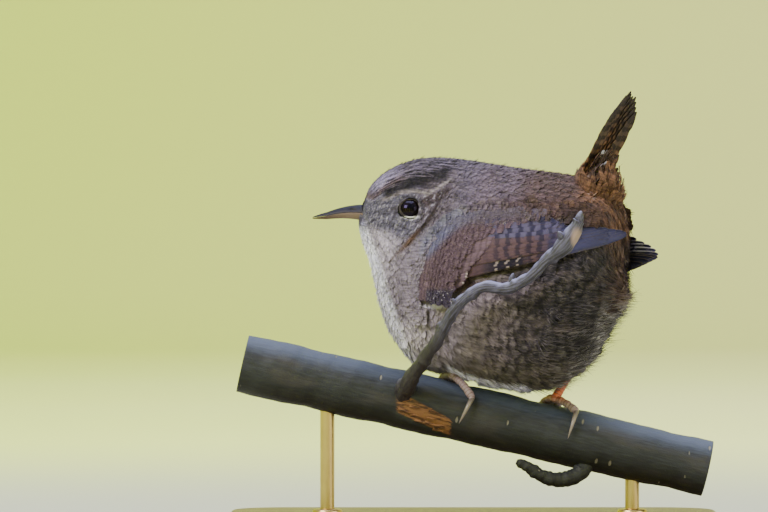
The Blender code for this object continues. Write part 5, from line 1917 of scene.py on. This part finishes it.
colour = painted(
    mixed((0.011, 0.012, 0.015), (0.023, 0.025, 0.032), step(lines, 0.35, 0.7)),
    ((0.036, 0.031, 0.030), step(clouds, 0.5, 0.7) * 0.6),
    # painted highlight of sky light on top, then painted shade below
    ((0.070, 0.088, 0.150), sky_highlight * 0.85),
    ((0.012, 0.013, 0.006), green * 0.6),
    ((0.20, 0.18, 0.14), pores * 0.8),
    ((0.10, 0.10, 0.09), step(fine, 0.68, 0.78) * 0.35),
    (mixed((0.20, 0.090, 0.036), (0.055, 0.026, 0.014), step(lines, 0.46, 0.62)), torn),
)
bark.give(
    base_color=colour,
    roughness=0.42 + lines * 0.3,
    normal=bump(lines * 0.5 + fine * 0.25 + pores * 0.6, 0.00022),
)
print(bark)

# %% Wood under the bark
torn_wood = Finish("torn wood", roughness=0.8)
place = object_place(torn_wood)
fibres = grain(stretched(place, (260, 1500, 1500)), 1.0, 4.0)
colour = mixed((0.20, 0.085, 0.030), (0.050, 0.022, 0.010), step(fibres, 0.4, 0.65))
torn_wood.give(base_color=colour, normal=bump(fibres, 0.0003))
print(torn_wood)

# %% Branch
BRANCH_RINGS = 360

half_run = BRANCH_HALF_LENGTH * math.cos(BRANCH_SLOPE)
bm, turn, ring = rings(BRANCH_RINGS, 84)
x = -half_run + 2 * half_run * ring / (BRANCH_RINGS - 1)


def knots(x, turn):
    """Low swellings of the branch, in mm."""
    sum_of = np.zeros_like(x)
    for wave_x, wave_turn, phase, size in ((0.31, 1, 0.4, 0.06), (0.83, 2, 2.0, 0.045), (1.9, 3, 4.1, 0.02)):
        sum_of += size * np.sin(wave_x * x + wave_turn * turn + phase)
    return sum_of


angle = np.degrees(turn)  # from the top towards -Y
slant = TORN_MIDDLE[1] + (x - TORN_MIDDLE[0]) * TORN_SLANT
torn = np.exp(-(((x - TORN_MIDDLE[0]) / 5.9) ** 6) - ((angle - slant) / 24.0) ** 6)
radius = branch_radius(x) + knots(x, turn) - 0.55 * torn
up = np.cos(turn)[:, None] * BRANCH_UP
side = -np.sin(turn)[:, None] * np.array([0.0, 1.0, 0.0])
centre = np.stack([x, np.zeros_like(x), BRANCH_Z - math.tan(BRANCH_SLOPE) * x], -1)
put(bm, centre + radius[:, None] * (up + side))
keep_vectors(bm, way=np.stack([np.cos(turn), np.sin(turn), (x + half_run) / math.cos(BRANCH_SLOPE)], -1))
ends = [f for f in bm.faces if len(f.verts) > 20]
for face in ends:
    bmesh.ops.inset_region(bm, faces=[face], thickness=0.35, depth=0.0)
finished(bm, "branch", bark.material, ("perch_branch",))

# %% [markdown]
# The torn patch is sunk in the branch's own rings. Splinters of wood lie over it: thin tubes along the bark,
# each lifted a little at one end, which gives the patch an edge from every side.

# %% Torn bark where the twig leaves
draw = np.random.default_rng(710)
splinters = bmesh.new()
for k in range(26):
    t = draw.random()
    x = TORN_MIDDLE[0] - 5.6 + 11.0 * t
    angle = TORN_MIDDLE[1] + (x - TORN_MIDDLE[0]) * TORN_SLANT + draw.uniform(-22, 22)
    long = draw.uniform(1.2, 3.0)
    rise = draw.uniform(0.0, 0.35)
    path = []
    for u in (0, 0.35, 0.7, 1.0):
        path.append(round_branch(x + long * u, angle + draw.uniform(-2, 2), 5.62 + rise * u))
    wide = draw.uniform(0.16, 0.38)
    add_to(splinters, sweep(path, [wide, wide * 0.9, wide * 0.6, 0.04], 6, 10))
finished(splinters, "torn_bark", torn_wood.material)

# %% [markdown]
# The bare twig rises in front of the bird. It is a tube that swells at its buds and old leaf scars, and dark
# where it is old. Where it is young, a pale lavender painted highlight lies on whatever faces up. The spur
# below the branch is a short thick twig of the same bark as the branch. Both are swept along a smooth curve
# through a few points, which follows the photograph more closely than straight lengths would.

# %% Courses of twig and spur
TWIG_PATH = (
    (-15.4, -2.6, 31.4), (-14.2, -7.4, 34.4), (-11.4, -12.2, 38.8), (-7.8, -17.4, 44.2), (-4.6, -20.6, 50.1),
    (0.6, -23.0, 54.5), (6.4, -24.2, 54.6), (10.4, -25.2, 56.6), (14.4, -26.4, 60.4), (18.4, -27.4, 64.0),
    (20.8, -28.0, 68.4),
)
TWIG_RADII = (2.4, 1.85, 1.4, 1.25, 1.2, 1.15, 1.25, 1.15, 1.2, 1.9, 1.1)
SPUR_PATH = (
    (25.0, -1.0, 20.0), (21.6, -3.2, 15.6), (17.6, -4.6, 14.4), (14.0, -5.2, 15.2), (10.8, -5.6, 17.2),
    (8.6, -5.8, 18.2),
)
SPUR_RADII = (1.9, 1.7, 1.55, 1.35, 1.15, 0.6)


def nodes_of_twig(turn, along):
    """Old leaf scars as low rings, and a fine unevenness."""
    scars = 0.22 * np.exp(-(((along % 9.7) - 4.8) / 0.6) ** 2) * (1 + 0.6 * np.cos(turn + along * 0.3))
    coarse = 0.12 * np.sin(along * 0.9 + turn)
    finer = 0.07 * np.sin(along * 1.7 + 2 * turn + 1)
    return scars + coarse + finer + 0.04 * np.sin(along * 3.1 + 3 * turn)


def nodes_of_spur(turn, along):
    """The same on the spur, closer together."""
    scars = 0.16 * np.exp(-(((along % 3.6) - 1.8) / 0.4) ** 2)
    return scars + 0.06 * np.sin(along * 2.2 + 2 * turn) + 0.04 * np.sin(along * 5.1 + turn)


# %% Twig finish
twig_bark = Finish("twig bark")
turn_cos, turn_sin, along, _ = attribute(twig_bark, "way")
ox, _, oz = parts(object_place(twig_bark))
_, _, upward = parts(twig_bark.node("ShaderNodeNewGeometry", output="Normal"))
wrap = joined(turn_cos * 1.6, turn_sin * 1.6, along)
lines = grain(stretched(wrap, (3.0, 3.0, 0.35)), 1.0, 3.0)
fine = grain(wrap, 4.0, 3.0)
old = step(ox, -0.004, -0.011)
colour = painted(
    mixed((0.020, 0.016, 0.030), (0.076, 0.069, 0.130), step(lines, 0.38, 0.66)),
    (mixed((0.008, 0.006, 0.007), (0.030, 0.023, 0.023), lines), old * 0.95),
    # painted highlight: pale lavender wherever the surface faces up, weaker on the old part
    ((0.23, 0.225, 0.42), step(upward, 0.25, 1.0) * (1 - old * 0.8)),
    ((0.16, 0.13, 0.12), step(fine, 0.66, 0.76) * 0.4),
    ((0.36, 0.24, 0.21), spot(ox * 1000, oz * 1000, (20.4, 64.8), 1.1, 1.9, 0.5) * 0.8),
)
twig_bark.give(
    base_color=colour,
    roughness=0.42 + lines * 0.25,
    normal=bump(lines * 0.6 + fine * 0.5, 0.0003),
)
print(twig_bark)

# %% Twig with its buds, and spur
# Each bud's middle, the way it points, and its half width and half length
BUDS = (
    ((-4.3, -21.4, 51.4), (-0.5, -0.6, 0.65), 0.75, 1.5),
    ((7.2, -24.6, 56.4), (0.2, -0.1, 1.0), 0.7, 1.3),
    ((20.9, -28.1, 68.8), (0.25, 0.0, 1.0), 0.95, 1.7),
    ((17.2, -28.4, 65.2), (-0.5, -0.5, 0.8), 0.8, 1.4),
)
twig = sweep(TWIG_PATH, TWIG_RADII, 32, 220, nodes_of_twig)
for middle, towards, wide, tall in BUDS:
    bud = bmesh.new()
    bmesh.ops.create_uvsphere(bud, u_segments=24, v_segments=16, radius=1.0)
    balls = np.array([v.co for v in bud.verts])
    taper = 1 - 0.35 * np.clip(balls[:, 2], 0, 1)
    balls = balls * np.stack([wide * taper, wide * taper, np.full_like(taper, tall)], -1)
    spin = np.array(Vector(towards).to_track_quat("Z", "Y").to_matrix())
    for vert, ball in zip(bud.verts, balls @ spin.T + np.array(middle)):
        vert.co = ball
    keep_vectors(bud, way=balls)
    add_to(twig, bud)
finished(twig, "twig", twig_bark.material, ("perch_twig",))
spur = sweep(SPUR_PATH, SPUR_RADII, 28, 110, nodes_of_spur)
finished(spur, "spur", bark.material, ("perch_spur",))

# %% [markdown]
# ## Stand
#
# The stand isn't in the photograph. It is a dark wooden base and two brass rods, each in a small collar. The
# base is a rounded outline drawn up into a slab, whose edges a bevel then softens. Its grain runs along its
# length, as in a plank, and the rods are brushed along theirs.

# %% Wood and brass finishes
wood = Finish("base wood", coat_weight=0.15)
place = object_place(wood)
warp = grain(stretched(place, (30, 90, 90)), 1.0, 3.0)
_, oy, oz = parts(place)
year_lines = (oy * 900 + warp * 7.0 + oz * 300).sine() * 0.5 + 0.5
pore_lines = grain(stretched(place, (150, 2400, 2400)), 1.0, 3.0)
colour = mixed((0.075, 0.038, 0.020), (0.135, 0.072, 0.037), year_lines)
wood.give(
    base_color=mixed(colour, (0.035, 0.018, 0.010), step(pore_lines, 0.56, 0.7) * 0.7),
    roughness=0.30 + pore_lines * 0.25,
    normal=bump(pore_lines, 0.00012),
)

brass = Finish("satin brass", metallic=1.0)
place = object_place(brass)
brushed = grain(stretched(place, (3000, 3000, 60)), 1.0, 2.0)
tarnish = grain(place, 160.0, 3.0)
brass.give(
    base_color=mixed((0.62, 0.45, 0.20), (0.42, 0.29, 0.13), tarnish),
    roughness=0.22 + brushed * 0.2,
    normal=bump(brushed, 0.00002),
)
print(wood, "and", brass)

# %% Base and rods
BASE_SIZE = (104.0, 66.0, 7.0)
BASE_CORNER = 12.0
ROD_RADIUS = 1.5
ROD_PLACES = (("left", -31.0), ("right", 33.0))

bm = bmesh.new()
outline = []
for cx, cy, start in ((1, 1, 0), (-1, 1, 90), (-1, -1, 180), (1, -1, 270)):
    for i in range(15):
        turn = math.radians(start + 90 * i / 14)
        x = cx * (BASE_SIZE[0] / 2 - BASE_CORNER) + BASE_CORNER * math.cos(turn)
        y = cy * (BASE_SIZE[1] / 2 - BASE_CORNER) + BASE_CORNER * math.sin(turn)
        outline.append(bm.verts.new((x, y, 0)))
under = bm.faces.new(outline)
grown = bmesh.ops.extrude_face_region(bm, geom=[under])["geom"]
risen = [v for v in grown if isinstance(v, bmesh.types.BMVert)]
bmesh.ops.translate(bm, verts=risen, vec=(0, 0, BASE_SIZE[2]))
bmesh.ops.recalc_face_normals(bm, faces=bm.faces)
rims = [e for e in bm.edges if abs(e.verts[0].co.z - e.verts[1].co.z) < 1e-6]
low_rims = [e for e in rims if e.verts[0].co.z < 1]
high_rims = [e for e in rims if e.verts[0].co.z > 1]
for edges, offset in ((high_rims, 1.2), (low_rims, 0.4)):
    bmesh.ops.bevel(bm, geom=edges, offset=offset, segments=6, profile=0.5, affect="EDGES", material=-1)
finished(bm, "stand_base_wood", wood.material, ("stand_base",), smooth=False)

for name, x in ROD_PLACES:
    high = branch_axis(x)[2] - branch_radius(x) * 0.93
    rod = bmesh.new()
    add_to(rod, sweep([(x, 0, 7.2), (x, 0, (7 + high) / 2), (x, 0, high)], [ROD_RADIUS] * 3, 40, 30))
    collar = [(x, 0, 7.0), (x, 0, 7.15), (x, 0, 7.8), (x, 0, 8.1), (x, 0, 8.25)]
    add_to(rod, sweep(collar, [3.1, 3.2, 3.1, 2.7, 1.6], 48, 24))
    finished(rod, "stand_rod_brass_" + name, brass.material, ("stand_rod_" + name,))

# %% Size, and the end
size = {"cad": [list(corner) for corner in solid_box], "visual": [list(corner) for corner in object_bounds()]}
